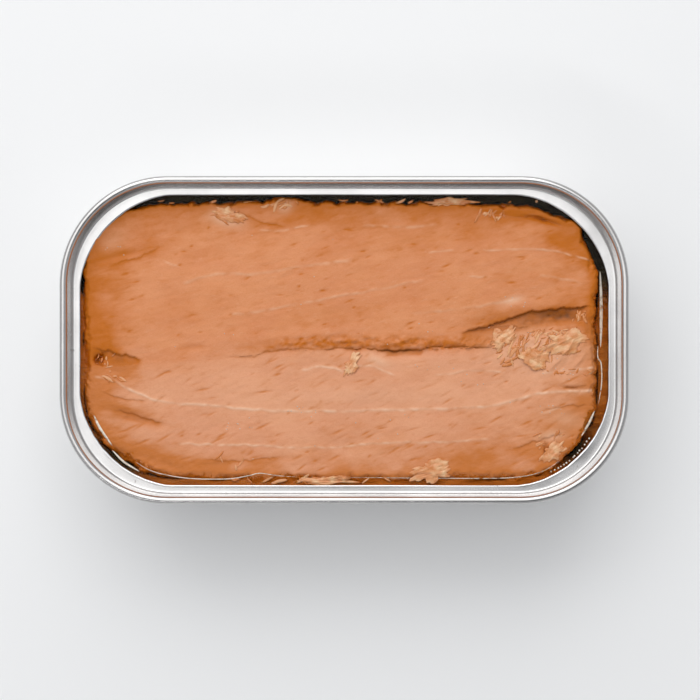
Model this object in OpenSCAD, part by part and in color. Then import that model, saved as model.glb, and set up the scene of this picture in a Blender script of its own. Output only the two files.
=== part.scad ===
// Open club can of tuna loin in oil: drawn body, the seamed-on rim that a ring-pull lid
// leaves behind, the oil, two cooked loins side by side and the loose flakes on them.
// Millimetres, +Z up, origin on the table under the middle of the can.

/* [Can] */
// Length over the double seam
can_l = 105; // [90:0.5:130]
// Width over the double seam
can_w = 60.5; // [54:0.5:80]
// Height over the double seam
can_h = 29; // [22:0.5:45]
// Corner radius of the seam's outside
corner_r = 20; // [18:0.5:24]
// Thickness of the tinplate
sheet_t = 0.25; // [0.2:0.01:0.3]

/* [Seam and torn lid] */
// Height of the double seam
seam_h = 3; // [2.6:0.1:3.6]
// Free space between neighbouring layers of the seam
seam_gap = 0.03; // [0.02:0.01:0.06]
// Depth of the ledge below the seam's top
ledge_drop = 4.8; // [4.4:0.1:6]
// Width of the flat ledge that stays when the lid is torn off
ledge_w = 1.1; // [0.6:0.1:1.4]
// Lean of the wall between the seam and the ledge, in degrees
chuck_lean = 4; // [1:0.5:8]

/* [Base] */
// Radius between wall and base, on the sheet's middle
base_r = 2; // [1.5:0.1:2.6]
// Width of the flat ring that the can stands on
stand_w = 1.6; // [1:0.1:2.5]
// Height of the base panel above the table
panel_lift = 1; // [0.7:0.1:1.3]
// Further lift of the panel's middle
bead_lift = 0.4; // [0.2:0.1:0.6]
// Width of the panel's outer, lower part
bead_in = 5; // [3:0.5:8]

/* [Fish and oil] */
// Distance from the ledge's edge in to the edge of the fish
edge_gap = 1.7; // [1.4:0.1:2.6]
// How far the flanks of the fish swell out below the ledge
flank_swell = 2.8; // [1.5:0.1:3]
// Height of the loins' crest above the ledge
crest_rise = 0.1; // [-1:0.1:0.1]
// Depth of the oil's surface below the ledge
oil_drop = 0.7; // [0.5:0.1:1]
// Width of the rounded shoulder along the edge of the fish
shoulder_w = 2.6; // [1.5:0.1:4]
// Depth of the crack between the loins
crack_d = 1.2; // [0.5:0.1:1.6]
// Half width of the crack between the loins
crack_w = 1.3; // [0.8:0.1:2]
// Thickest that a loose flake may stand above the crest
flake_rise = 0.4; // [0.1:0.05:0.4]

/* [Hidden] */
// Loose flakes: name, middle as shares of the fish's half length and half width,
// length, width, turn in degrees, thickness
flakes = [
    ["flake_right_outer",  0.87, -0.03, 8.0, 4.4,  24, 1.0],
    ["flake_right_middle", 0.74, -0.13, 5.8, 3.6, -28, 0.9],
    ["flake_right_inner",  0.62,  0.01, 6.0, 3.0,  38, 0.8],
    ["flake_middle",       0.03, -0.19, 5.0, 2.6,  62, 0.5],
    ["flake_back_tuft",   -0.46,  0.93, 5.8, 2.6, -18, 0.7],
    ["flake_back_edge",    0.41,  1.03, 8.6, 1.6,   2, 0.6],
    ["flake_front_long",  -0.01, -1.05, 17,  2.0,   0, 0.7],
    ["flake_front_leaf",   0.34, -0.95, 8.0, 4.0,  16, 0.8],
    ["flake_corner",       0.82, -0.83, 5.0, 2.8,  40, 0.7]
];
$fn = 96;

// Seam: five layers of sheet across, the leaning wall's layer innermost
seam_t = 5 * sheet_t + 4 * seam_gap;
fold_r = sheet_t + seam_gap;
crown_r = 2 * fold_r;
crown_z = can_h - sheet_t / 2 - crown_r;
foot_z = can_h - seam_h + sheet_t / 2 + fold_r;
hook_l = crown_z - foot_z - sheet_t;
ledge_z = can_h - ledge_drop;
ledge_bend = 0.5;
bend_step = 15;

// Base
step_bend = 0.5;
step_turn = 60;
step_up = panel_lift - 2 * step_bend * (1 - cos(step_turn));
bead_turn = acos(1 - bead_lift / (2 * step_bend));
panel_z = panel_lift + bead_lift + sheet_t;
core_l = can_l - 2 * corner_r;
core_w = can_w - 2 * corner_r;

// Fish: a rounded rectangle inside the ledge, round the same corner centres as the can
chuck_h = crown_z - ledge_z + sheet_t / 2 - ledge_bend + (crown_r + ledge_bend) * sin(chuck_lean);
ring_w = seam_t - sheet_t / 2 + chuck_h * tan(chuck_lean) + ledge_bend + ledge_w;
fish_r = corner_r - ring_w - edge_gap;
fish_a = core_l / 2 + fish_r;
fish_b = core_w / 2 + fish_r;
crest_z = ledge_z + crest_rise;
oil_z = ledge_z - oil_drop;
// Relief of the fish: fall of its shoulder, its grain, the raggedness of its flanks, its least
// height over the oil, and how far out its edge still carries a flake
shoulder_d = 0.7;
grain_d = 0.08;
rag = 0.11;
least_h = 0.05;
lap_w = 1.2;
// Gap under a flake, and between the oil and the steps of the base
contact = 0.01;
step_clear = 0.15;

// A sheet's route: moves are [length, 0] or [bend radius, angle], a pose is [x, z, heading]
function moved(p, m) = m[1] == 0
    ? [p[0] + m[0] * cos(p[2]), p[1] + m[0] * sin(p[2]), p[2]]
    : let (s = sign(m[1]), bx = p[0] - s * m[0] * sin(p[2]), bz = p[1] + s * m[0] * cos(p[2]))
      [bx + s * m[0] * sin(p[2] + m[1]), bz - s * m[0] * cos(p[2] + m[1]), p[2] + m[1]];
function pose(start, moves, i) = i == 0 ? start : moved(pose(start, moves, i - 1), moves[i - 1]);
function poses(start, moves) = concat([start], [
    for (i = [0 : len(moves) - 1])
        let (p = pose(start, moves, i), m = moves[i], n = max(1, ceil(abs(m[1]) / bend_step)))
            for (k = [1 : n]) moved(p, m[1] == 0 ? m : [m[0], m[1] * k / n])
]);
function beside(p, shift) = [p[0] - shift * sin(p[2]), p[1] + shift * cos(p[2])];

// Section of the sheet along its route, as one closed outline
module sheet(start, moves) {
    line = poses(start, moves);
    last = len(line) - 1;
    polygon(concat([for (p = line) beside(p, sheet_t / 2)],
                   [for (i = [last : -1 : 0]) beside(line[i], -sheet_t / 2)]));
}

// Sweeps a section round the can, its x measured outwards from the corners' centres
module around()
    for (turn = [0, 180])
        rotate([0, 0, turn]) {
            translate([core_l / 2, core_w / 2])
                rotate_extrude(angle = 90)
                    children();
            translate([-core_l / 2, core_w / 2])
                rotate([0, 0, 90])
                    rotate_extrude(angle = 90)
                        children();
            translate([core_l / 2, core_w / 2])
                rotate([90, 0, 0])
                    linear_extrude(core_w)
                        children();
            translate([-core_l / 2, core_w / 2])
                rotate([90, 0, 90])
                    linear_extrude(core_l)
                        children();
        }

// Body: its hook inside the seam, the wall, the stand ring and the two steps of the base
body_start = [corner_r - 1.5 * sheet_t - seam_gap, crown_z - hook_l, 90];
body_turns = [
    [hook_l, 0],
    [fold_r, 180],
    [crown_z - base_r - sheet_t / 2, 0],
    [base_r, -90],
    [stand_w, 0],
    [step_bend, -step_turn],
    [step_up / sin(step_turn), 0],
    [step_bend, step_turn],
    [bead_in, 0],
    [step_bend, -bead_turn],
    [step_bend, bead_turn]
];
bead_end = pose(body_start, body_turns, len(body_turns));

module can_body() {
    color([0.80, 0.79, 0.78]) {
        around()
            sheet(body_start, concat(body_turns, [[bead_end[0], 0]]));
        translate([-core_l / 2, -core_w / 2, panel_z - sheet_t])
            cube([core_l, core_w, sheet_t]);
    }
}

// Rim: cover hook, foot, outer wall, crown, leaning wall and the ledge up to the torn edge
lid_start = [corner_r - 2.5 * sheet_t - 2 * seam_gap, foot_z + hook_l, -90];
lid_moves = [
    [hook_l, 0],
    [fold_r, 180],
    [crown_z - foot_z, 0],
    [crown_r, 180 - chuck_lean],
    [chuck_h / cos(chuck_lean), 0],
    [ledge_bend, chuck_lean - 90],
    [ledge_w, 0]
];

module lid_ring() {
    color([0.83, 0.82, 0.81])
        around()
            sheet(lid_start, lid_moves);
}

// Where the loins part, and how far the crack between them stands open along it
function part_y(x) = let (u = x / fish_a) fish_b * (-0.055 + 0.08 * u - 0.05 * u * u);
function crack_open(x) = let (u = x / fish_a)
    max(0, min(1, 6 * (u + 0.52), 6 * (0.56 - u))) * (0.45 + 0.55 * min(1, 12 * abs(u - 0.1)));

// Offset of a place from the can's core, and its distance in from the edge of the fish
function off_core(x, y) = [sign(x) * max(abs(x) - core_l / 2, 0), sign(y) * max(abs(y) - core_w / 2, 0)];
function inset(x, y) = fish_r - norm(off_core(x, y));

// Hollows and swellings: middle as shares of the half length and half width, two radii, height
spots = [
    [-0.90, -0.22, 5.0, 2.6, -0.6],
    [-0.80, -0.55, 4.5, 1.4, -0.4],
    [-0.72, -0.90, 8.0, 3.0, -0.6],
    [ 0.34, -0.01, 9.0, 1.7, -0.4],
    [ 0.74, -0.04, 9.0, 4.5, -0.6],
    [ 0.86,  0.24, 6.0, 2.4, -0.6],
    [ 0.98, -0.55, 3.0, 7.0, -0.5],
    [-0.30,  0.45, 16,  7.0,  0.2],
    [ 0.05, -0.55, 20,  6.0,  0.2]
];
function total(list, i = 0) = i == len(list) ? 0 : list[i] + total(list, i + 1);
function spots_z(x, y) = total([for (s = spots)
    s[4] * exp(-pow((x - s[0] * fish_a) / s[2], 2) - pow((y - s[1] * fish_b) / s[3], 2))]);
function grain_z(x, y) = grain_d * (sin(9 * x + 34 * y) + sin(21 * x - 17 * y + 40) - 2);
function shoulder_z(x, y) = -shoulder_d * pow(max(0, 1 - max(inset(x, y), 0) / shoulder_w), 2);
function crack_z(x, y) = -crack_d * crack_open(x) * max(0, 1 - abs(y - part_y(x)) / crack_w);
function loin_z(x, y) = crack_z(x, y)
    + max(oil_z + least_h, min(crest_z, crest_z + spots_z(x, y) + grain_z(x, y) + shoulder_z(x, y)));

// Plan of a loin: stations along the length, close together round the corners, and rows across
ends = 6;
lengths = 24;
rows = 12;
stations = 2 * ends + lengths;
function station(i) = i <= ends ? -core_l / 2 - fish_r * cos(90 * i / ends)
    : i <= ends + lengths ? core_l / 2 * (2 * (i - ends) / lengths - 1)
    : core_l / 2 + fish_r * sin(90 * (i - ends - lengths) / ends);
function half_w(x) = core_w / 2 + sqrt(max(0, pow(fish_r, 2) - pow(max(0, abs(x) - core_l / 2), 2)));
function plan(i, j, side) = let (x = station(i), f = (1 - cos(180 * j / rows)) / 2)
    [x, part_y(x) * (1 - f) + side * half_w(x) * f];

// Places round the fish, at a distance from the core and a height
function outward(i, j, side) = let (p = plan(i, j, side), d = off_core(p[0], p[1])) d / norm(d);
function placed(i, j, side, reach, z) = let (p = plan(i, j, side),
    q = p - off_core(p[0], p[1]) + outward(i, j, side) * reach) [q[0], q[1], z];
function ragged(i, j, side) = let (p = plan(i, j, side))
    rag * (sin(37 * p[0] + 11 * p[1]) + sin(83 * p[1] - 29 * p[0]));

// Flanks: share of the swell and height as a share of the oil's depth, from the oil's surface down
flank = [[0.25, 1], [0.75, 0.92], [1, 0.72], [1, 0.3], [0.75, 0.1], [0.1, 0]];
function flank_ring(loop, level) = [for (r = loop)
    let (z = panel_z + (oil_z - panel_z) * level[1])
    r[3] ? concat(plan(r[0], r[1], r[2]), z)
    : placed(r[0], r[1], r[2], fish_r + flank_swell * level[0] + ragged(r[0], r[1], r[2]), z)];

// Faces between closed rings of equal length, the next ring lying ahead of the last
function band(a, b, n) = [for (m = [0 : n - 1]) let (k = (m + 1) % n)
    each [[a + m, b + m, b + k], [a + m, b + k, a + k]]];

// One loin, side = 1 for the back and -1 for the front: a relief on top, rings down the flanks
module loin(side) {
    cols = rows + 1;
    loop = concat(
        [for (i = [0 : stations]) [i, 0, side, i > 0 && i < stations]],
        [for (j = [1 : rows]) [stations, j, side, false]],
        [for (i = [stations - 1 : -1 : 0]) [i, rows, side, false]],
        [for (j = [rows - 1 : -1 : 1]) [0, j, side, false]]);
    n = len(loop);
    top = [for (i = [0 : stations]) for (j = [0 : rows])
        let (p = plan(i, j, side)) [p[0], p[1], loin_z(p[0], p[1])]];
    rings = [for (level = flank) flank_ring(loop, level)];
    start = len(top);
    rim = [for (r = loop) r[0] * cols + r[1]];
    last = start + (len(flank) - 1) * n;
    faces = concat(
        [for (i = [0 : stations - 1]) for (j = [0 : rows - 1]) let (a = i * cols + j, b = a + cols)
            each [[a, b, b + 1], [a, b + 1, a + 1]]],
        [for (m = [0 : n - 1]) let (k = (m + 1) % n)
            each [[rim[m], start + m, start + k], [rim[m], start + k, rim[k]]]],
        [for (k = [0 : len(flank) - 2]) each band(start + k * n, start + (k + 1) * n, n)],
        [[for (m = [n - 1 : -1 : 0]) last + m]]);
    polyhedron(concat(top, [for (ring = rings) each ring]),
               side > 0 ? [for (f = faces) [for (m = [len(f) - 1 : -1 : 0]) f[m]]] : faces);
}

module loin_back() {
    color([0.84, 0.57, 0.38])
        loin(1);
}

module loin_front() {
    color([0.86, 0.60, 0.42])
        loin(-1);
}

// Oil: rings round the fish, down its flanks, under its edge, and back up along the body's inside
module oil() {
    loop = concat(
        [for (j = [0 : rows]) [stations, j, 1, false]],
        [for (i = [stations - 1 : -1 : 0]) [i, rows, 1, false]],
        [for (j = [rows - 1 : -1 : 0]) [0, j, 1, false]],
        [for (j = [1 : rows]) [0, j, -1, false]],
        [for (i = [1 : stations]) [i, rows, -1, false]],
        [for (j = [rows - 1 : -1 : 1]) [stations, j, -1, false]]);
    n = len(loop);
    wall_end = pose(body_start, body_turns, 3);
    bends = [
        bead_end,
        pose(body_start, body_turns, 9),
        pose(body_start, body_turns, 8),
        pose(body_start, body_turns, 5),
        pose(body_start, body_turns, 4),
        moved(wall_end, [base_r, -60]),
        moved(wall_end, [base_r, -30]),
        wall_end
    ];
    inside = [for (k = [0 : len(bends) - 1]) beside(bends[k], -sheet_t / 2) + [k < 4 ? step_clear : 0, 0]];
    section = concat(inside, [[inside[len(inside) - 1][0], oil_z]]);
    rings = concat([for (level = flank) flank_ring(loop, level)],
                   [for (s = section) [for (r = loop) placed(r[0], r[1], r[2], s[0], s[1])]]);
    count = len(rings);
    color([0.62, 0.38, 0.12])
        polyhedron([for (ring = rings) each ring],
                   [for (k = [0 : count - 1]) each band(k * n, (k + 1) % count * n, n)]);
}

// What carries a flake: the fish, or past its edge the oil
function ground(x, y) = oil_z
    + max(0, loin_z(x, y) - crack_z(x, y) - oil_z) * max(0, min(1, 1 + inset(x, y) / lap_w));

// Loose flake: a ragged leaf that lies on what carries it
module flake(f) {
    spokes = 16;
    steps = 3;
    mid_x = f[1] * fish_a;
    mid_y = f[2] * fish_b;
    function leaf(k, m) = let (a = 360 * m / spokes, share = k / steps,
        s = f[3] / 2 * cos(a) * (1 + 0.08 * sin(3 * a + 50 * f[3])),
        t = f[4] / 2 * sin(a) * (1 + 0.2 * sin(4 * a + 70 * f[4])) * (1 - 0.3 * pow(cos(a), 2)))
        [mid_x + share * (s * cos(f[5]) - t * sin(f[5])), mid_y + share * (s * sin(f[5]) + t * cos(f[5]))];
    function under(p) = [p[0], p[1], ground(p[0], p[1]) + contact];
    function over(p, k, m) = let (rise = f[6] * (1 - pow(k / steps, 2)) * (0.85 + 0.15 * sin(100 * m + 60 * k)))
        [p[0], p[1], min(crest_z + flake_rise, ground(p[0], p[1]) + contact + max(rise, 0))];
    points = concat(
        [for (k = [1 : steps]) for (m = [0 : spokes - 1]) under(leaf(k, m))],
        [for (k = [1 : steps - 1]) for (m = [0 : spokes - 1]) over(leaf(k, m), k, m)],
        [under([mid_x, mid_y]), over([mid_x, mid_y], 0, 0)]);
    upper = steps * spokes;
    low_mid = len(points) - 2;
    faces = concat(
        [for (m = [0 : spokes - 1]) [low_mid, m, (m + 1) % spokes]],
        [for (k = [0 : steps - 2]) each band(k * spokes, (k + 1) * spokes, spokes)],
        band((steps - 1) * spokes, upper + (steps - 2) * spokes, spokes),
        [for (k = [steps - 2 : -1 : 1]) each band(upper + k * spokes, upper + (k - 1) * spokes, spokes)],
        [for (m = [0 : spokes - 1]) [upper + m, low_mid + 1, upper + (m + 1) % spokes]]);
    color([0.88, 0.68, 0.52])
        polyhedron(points, faces);
}

can_body();
lid_ring();
oil();
loin_back();
loin_front();
for (f = flakes)
    flake(f);
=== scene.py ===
"""Looks of an open oblong can of tuna loin in oil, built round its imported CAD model.

Sizes are in millimetres, and become metres when a piece is handed over. The can's corners are
quarter circles round four centres, and "reach" is the distance outwards from those centres.
"""

import logging
import math
from dataclasses import dataclass, field
from enum import Enum

import bmesh
import bpy
import numpy as np
from mathutils import Matrix, Vector


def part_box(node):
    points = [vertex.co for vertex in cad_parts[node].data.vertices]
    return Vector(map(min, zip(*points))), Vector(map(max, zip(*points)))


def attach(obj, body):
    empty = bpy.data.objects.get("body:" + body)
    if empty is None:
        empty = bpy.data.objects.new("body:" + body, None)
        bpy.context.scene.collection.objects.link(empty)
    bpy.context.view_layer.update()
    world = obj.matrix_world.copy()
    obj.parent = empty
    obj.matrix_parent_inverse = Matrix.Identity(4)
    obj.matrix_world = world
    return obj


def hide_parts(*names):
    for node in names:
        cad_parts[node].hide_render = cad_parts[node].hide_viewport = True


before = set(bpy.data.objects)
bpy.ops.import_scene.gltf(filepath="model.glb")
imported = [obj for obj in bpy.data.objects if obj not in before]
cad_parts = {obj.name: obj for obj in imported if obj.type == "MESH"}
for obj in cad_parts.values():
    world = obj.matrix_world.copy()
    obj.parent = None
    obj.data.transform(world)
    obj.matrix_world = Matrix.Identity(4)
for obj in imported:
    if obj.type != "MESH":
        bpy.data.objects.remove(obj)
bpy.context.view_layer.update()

MM = 0.001
MERGED = 0.0005
LATTICE_KEYS = (374761393, 668265263, 144269504)
LATTICE_STIR = 1274126177
LATTICE_HALF = 2147483647.5
OCTAVE_SHIFT = (17.3, -9.1)
NEAR = 0.001
POINT, EDGE = bmesh.types.BMVert, bmesh.types.BMEdge
LOG = logging.getLogger("tuna_can")


class Slot(Enum):
    """The record's material slots."""

    BODY = "tinplate_body"
    RIM = "tinplate_rim"
    OIL = "oil"
    TUNA = "tuna"
    FLAKE = "tuna_flake"


# ------------------------------------------------------------------ helpers on arrays


def smooth(low: float, high: float, value: np.ndarray) -> np.ndarray:
    """Runs smoothly from 0 at low to 1 at high.

    Args:
        low: Where the result starts to rise.
        high: Where it reaches 1.
        value: What is compared.

    Returns:
        The eased share.
    """
    t = np.clip((value - low) / (high - low), 0.0, 1.0)
    return t * t * (3.0 - 2.0 * t)


def span(value: np.ndarray, rise: tuple[float, float], fall: tuple[float, float]) -> np.ndarray:
    """Share that rises from 0 to 1 over one stretch and falls back over another.

    Args:
        value: What is compared.
        rise: Where it starts to rise, and where it reaches 1.
        fall: Where it starts to fall, and where it reaches 0.

    Returns:
        The eased share.
    """
    return smooth(*rise, value) * (1 - smooth(*fall, value))


def lattice(ix: np.ndarray, iy: np.ndarray, seed: int) -> np.ndarray:
    """Gives every lattice point its own fixed value from -1 to 1.

    Args:
        ix: Whole-numbered places along.
        iy: Whole-numbered places across.
        seed: Which pattern.

    Returns:
        The values.
    """
    mask = np.uint64(0xFFFFFFFF)
    along, across, pattern = LATTICE_KEYS
    h = (ix.astype(np.int64) * along + iy.astype(np.int64) * across + seed * pattern).astype(np.uint64)
    h &= mask
    h = ((h ^ (h >> np.uint64(13))) * np.uint64(LATTICE_STIR)) & mask
    h ^= h >> np.uint64(16)
    return h.astype(np.float64) / LATTICE_HALF - 1.0


def noise(x: np.ndarray, y: np.ndarray, seed: int, octaves: int = 1) -> np.ndarray:
    """Smooth noise of about -1 to 1 with a grain of one unit.

    Args:
        x: Places along, already divided by the grain's size.
        y: Places across, likewise.
        seed: Which pattern.
        octaves: How many finer layers, each half as strong.

    Returns:
        The noise.
    """
    total = np.zeros(np.broadcast(x, y).shape)
    weight, scale = 1.0, 1.0
    for layer in range(octaves):
        px, py = x * scale + OCTAVE_SHIFT[0] * layer, y * scale + OCTAVE_SHIFT[1] * layer
        ix, iy = np.floor(px), np.floor(py)
        fx, fy = px - ix, py - iy
        ux, uy = fx * fx * (3 - 2 * fx), fy * fy * (3 - 2 * fy)
        low = lattice(ix, iy, seed + layer) * (1 - ux) + lattice(ix + 1, iy, seed + layer) * ux
        high = lattice(ix, iy + 1, seed + layer) * (1 - ux) + lattice(ix + 1, iy + 1, seed + layer) * ux
        total += weight * (low * (1 - uy) + high * uy)
        weight *= 0.5
        scale *= 2.0
    return total


def turned(x: np.ndarray, y: np.ndarray, degrees: float) -> tuple[np.ndarray, np.ndarray]:
    """Gives places along and across a direction.

    Args:
        x: Places along X.
        y: Places along Y.
        degrees: The direction, anticlockwise from +X.

    Returns:
        Places along the direction, and across it to the left.
    """
    c, s = math.cos(math.radians(degrees)), math.sin(math.radians(degrees))
    return x * c + y * s, y * c - x * s


def through(x: np.ndarray, points: tuple[tuple[float, float], ...]) -> np.ndarray:
    """Height of a smooth line through points, held level past its ends.

    Args:
        x: Where the line is read.
        points: Its points, from the left.

    Returns:
        The line's height at x.
    """
    px = np.array([p[0] for p in points])
    py = np.array([p[1] for p in points])
    slope = np.gradient(py, px)
    i = np.clip(np.searchsorted(px, x) - 1, 0, len(px) - 2)
    gap = px[i + 1] - px[i]
    t = np.clip((x - px[i]) / gap, 0.0, 1.0)
    t2, t3 = t * t, t * t * t
    return ((2 * t3 - 3 * t2 + 1) * py[i] + (t3 - 2 * t2 + t) * gap * slope[i]
            + (3 * t2 - 2 * t3) * py[i + 1] + (t3 - t2) * gap * slope[i + 1])


# ------------------------------------------------------------------ shader maths


class Value:
    """A socket in a shader, on which Python's operators add Math nodes."""

    def __init__(self, shader: "Shader", socket: bpy.types.NodeSocket) -> None:
        """Keeps the socket and the shader it is in."""
        self.shader = shader
        self.socket = socket

    def _math(self, operation: str, *others: "Value | float") -> "Value":
        """Adds a Math node on this value and the others."""
        return self.shader.math(operation, self, *others)

    def __add__(self, other: "Value | float") -> "Value":
        """Sum."""
        return self._math("ADD", other)

    __radd__ = __add__

    def __mul__(self, other: "Value | float") -> "Value":
        """Product."""
        return self._math("MULTIPLY", other)

    __rmul__ = __mul__

    def __sub__(self, other: "Value | float") -> "Value":
        """Difference."""
        return self._math("SUBTRACT", other)

    def __rsub__(self, other: "Value | float") -> "Value":
        """Difference the other way round."""
        return self.shader.math("SUBTRACT", other, self)

    def clamped(self) -> "Value":
        """Held between 0 and 1."""
        return self.shader.math("MINIMUM", self.shader.math("MAXIMUM", self, 0.0), 1.0)

    def between(self, low: float, high: float) -> "Value":
        """Eased share from 0 at low to 1 at high.

        Args:
            low: Where the share starts to rise.
            high: Where it reaches 1.

        Returns:
            The share.
        """
        settings = {"interpolation_type": "SMOOTHSTEP"}
        made = self.shader.add("ShaderNodeMapRange", settings, {"Value": self, "From Min": low, "From Max": high})
        return made["Result"]


class Outputs:
    """What a node gives, by the name of its socket."""

    def __init__(self, shader: "Shader", node: bpy.types.Node) -> None:
        """Keeps the node."""
        self.shader = shader
        self.node = node

    def __getitem__(self, name: str) -> Value:
        """The value of the socket of that name that is in use.

        Args:
            name: The socket's name.

        Returns:
            Its value.
        """
        for socket in self.node.outputs:
            if socket.name == name and socket.enabled:
                return Value(self.shader, socket)
        raise KeyError(name)


class Shader:
    """A material's nodes, with its Principled shader already in place."""

    def __init__(self, name: str) -> None:
        """Starts a material.

        Args:
            name: The material's name.
        """
        self.material = bpy.data.materials.new(name)
        self.material.use_nodes = True
        self.tree = self.material.node_tree
        self.surface = self.tree.nodes["Principled BSDF"]

    def add(self, kind: str, settings: dict | None = None, values: dict | None = None) -> Outputs:
        """Adds a node.

        Args:
            kind: The node's type.
            settings: Its properties, which are set first.
            values: Its sockets' values or links, by name or number.

        Returns:
            The node's outputs.
        """
        node = self.tree.nodes.new(kind)
        for key, setting in (settings or {}).items():
            setattr(node, key, setting)
        for key, value in (values or {}).items():
            self.feed(self._input(node, key), value)
        return Outputs(self, node)

    @staticmethod
    def _input(node: bpy.types.Node, key: "str | int") -> bpy.types.NodeSocket:
        """Finds a node's input by its number, or by the name of one in use.

        Args:
            node: The node.
            key: The number or name.

        Returns:
            The input.
        """
        if isinstance(key, int):
            return node.inputs[key]
        return next(s for s in node.inputs if s.name == key and s.enabled)

    def feed(self, socket: bpy.types.NodeSocket, value: "Value | float | tuple") -> None:
        """Links or sets a socket.

        Args:
            socket: The socket.
            value: A value to link, or a constant.
        """
        if isinstance(value, Value):
            self.tree.links.new(value.socket, socket)
        elif isinstance(value, tuple) and len(value) == 3 and len(socket.default_value) == 4:
            socket.default_value = (*value, 1.0)
        else:
            socket.default_value = value

    def math(self, operation: str, *values: "Value | float") -> Value:
        """Adds a Math node.

        Args:
            operation: What it does.
            values: Its inputs in order.

        Returns:
            Its result.
        """
        made = self.add("ShaderNodeMath", {"operation": operation}, dict(enumerate(values)))
        return made["Value"]

    def mix(self, share: "Value | float", low: "Value | tuple", high: "Value | tuple") -> Value:
        """Mixes two colours.

        Args:
            share: How much of the second.
            low: The first colour.
            high: The second colour.

        Returns:
            The mixed colour.
        """
        made = self.add("ShaderNodeMix", {"data_type": "RGBA"}, {"Factor": share, "A": low, "B": high})
        return made["Result"]

    def place(self, scale: tuple[float, float, float] = (1, 1, 1), turn: float = 0.0) -> Value:
        """Object coordinates in millimetres, turned about Z and then scaled.

        Args:
            scale: Grains per millimetre along each axis.
            turn: Direction of the grain in degrees.

        Returns:
            The place as a vector.
        """
        spot = self.add("ShaderNodeTexCoord")["Object"]
        values = {"Vector": spot, "Rotation": (0.0, 0.0, -math.radians(turn))}
        level = self.add("ShaderNodeMapping", {"vector_type": "POINT"}, values)["Vector"]
        grains = tuple(s / MM for s in scale)
        made = self.add("ShaderNodeVectorMath", {"operation": "MULTIPLY"}, {0: level, 1: grains})
        return made["Vector"]

    def noise(self, place: Value, detail: float = 3.0, rough: float = 0.55, warp: float = 0.0) -> Value:
        """Noise of 0 to 1 at a place.

        Args:
            place: Where, in grains.
            detail: How many finer layers.
            rough: How strong the finer layers are.
            warp: How much the pattern is bent.

        Returns:
            The noise.
        """
        values = {"Vector": place, "Scale": 1.0, "Detail": detail, "Roughness": rough, "Distortion": warp}
        return self.add("ShaderNodeTexNoise", {"noise_dimensions": "3D"}, values)["Fac"]

    def attribute(self, name: str) -> Value:
        """A number that the piece's points carry."""
        return self.add("ShaderNodeAttribute", {"attribute_name": name})["Fac"]

    def bump(self, height: Value, depth: float, strength: float = 1.0, under: Value | None = None) -> Value:
        """Turns a height into a normal.

        Args:
            height: The height, from 0 to 1.
            depth: How deep 1 is, in millimetres.
            strength: How much of it is applied.
            under: A normal that it is laid over.

        Returns:
            The normal.
        """
        values = {"Height": height, "Distance": depth * MM, "Strength": strength}
        if under is not None:
            values["Normal"] = under
        return self.add("ShaderNodeBump", None, values)["Normal"]

    def finish(self, **sockets: "Value | float | tuple") -> bpy.types.Material:
        """Sets the Principled shader's sockets.

        Args:
            sockets: Values by the socket's name, with _ for a space.

        Returns:
            The material.
        """
        for name, value in sockets.items():
            self.feed(self.surface.inputs[name.replace("_", " ")], value)
        return self.material


# ------------------------------------------------------------------ finishes


@dataclass(frozen=True)
class Tinplate:
    """Bright drawn tinplate with draw lines round the can, a few specks, and painted shade on the seam's crown."""

    name: str = "tinplate"
    colour: tuple[float, float, float] = (0.80, 0.785, 0.77)
    roughness: float = 0.19
    line_depth: float = 0.002
    speck_share: float = 0.5
    # Painted shade: above this height the seam's crown is mixed towards a dark grey.
    crown: float = 27.9
    crown_shade_share: float = 0.17
    crown_shade_tone: tuple[float, float, float] = (0.12, 0.11, 0.105)
    speck_tone: tuple[float, float, float] = (0.25, 0.23, 0.21)

    def material(self) -> bpy.types.Material:
        """Builds the finish.

        Returns:
            The material.
        """
        s = Shader(self.name)
        reach, height = s.attribute("reach"), s.attribute("height")
        lines = s.add("ShaderNodeCombineXYZ", None, {"X": reach * 5.0, "Y": height * 5.0})["Vector"]
        drawn = s.noise(lines, detail=5.0, rough=0.7)
        clouds = s.noise(s.place((0.12, 0.12, 0.12)), detail=3.0)
        grains = s.noise(s.place((6.0, 6.0, 6.0)), detail=2.0)
        dots = s.noise(s.place((1.3, 1.3, 1.3)), detail=1.0)
        speck = dots.between(0.76, 0.80) * self.speck_share
        colour = s.mix(clouds.between(0.35, 0.7), self.colour, tuple(c * 0.93 for c in self.colour))
        # Painted shade on the seam's crown, darker than the rest of the tinplate.
        crown = height.between(self.crown, self.crown + 0.7) * self.crown_shade_share
        colour = s.mix(crown, colour, self.crown_shade_tone)
        colour = s.mix(speck, colour, self.speck_tone)
        rough = self.roughness + (drawn - 0.5) * 0.08 + (clouds - 0.5) * 0.10 + speck * 0.3
        normal = s.bump(drawn + grains * 0.25, self.line_depth)
        return s.finish(Base_Color=colour, Metallic=1.0, Roughness=rough.clamped(), Normal=normal)


@dataclass(frozen=True)
class Oil:
    """Clear amber oil."""

    name: str = "amber_oil"
    colour: tuple[float, float, float] = (0.96, 0.76, 0.28)
    roughness: float = 0.02
    refraction: float = 1.18
    ripple_depth: float = 0.02

    def material(self) -> bpy.types.Material:
        """Builds the finish.

        Returns:
            The material.
        """
        s = Shader(self.name)
        ripple = s.noise(s.place((0.5, 0.5, 0.5)), detail=1.0)
        return s.finish(Base_Color=self.colour, Roughness=self.roughness, IOR=self.refraction,
                        Transmission_Weight=1.0, Normal=s.bump(ripple, self.ripple_depth))


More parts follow.
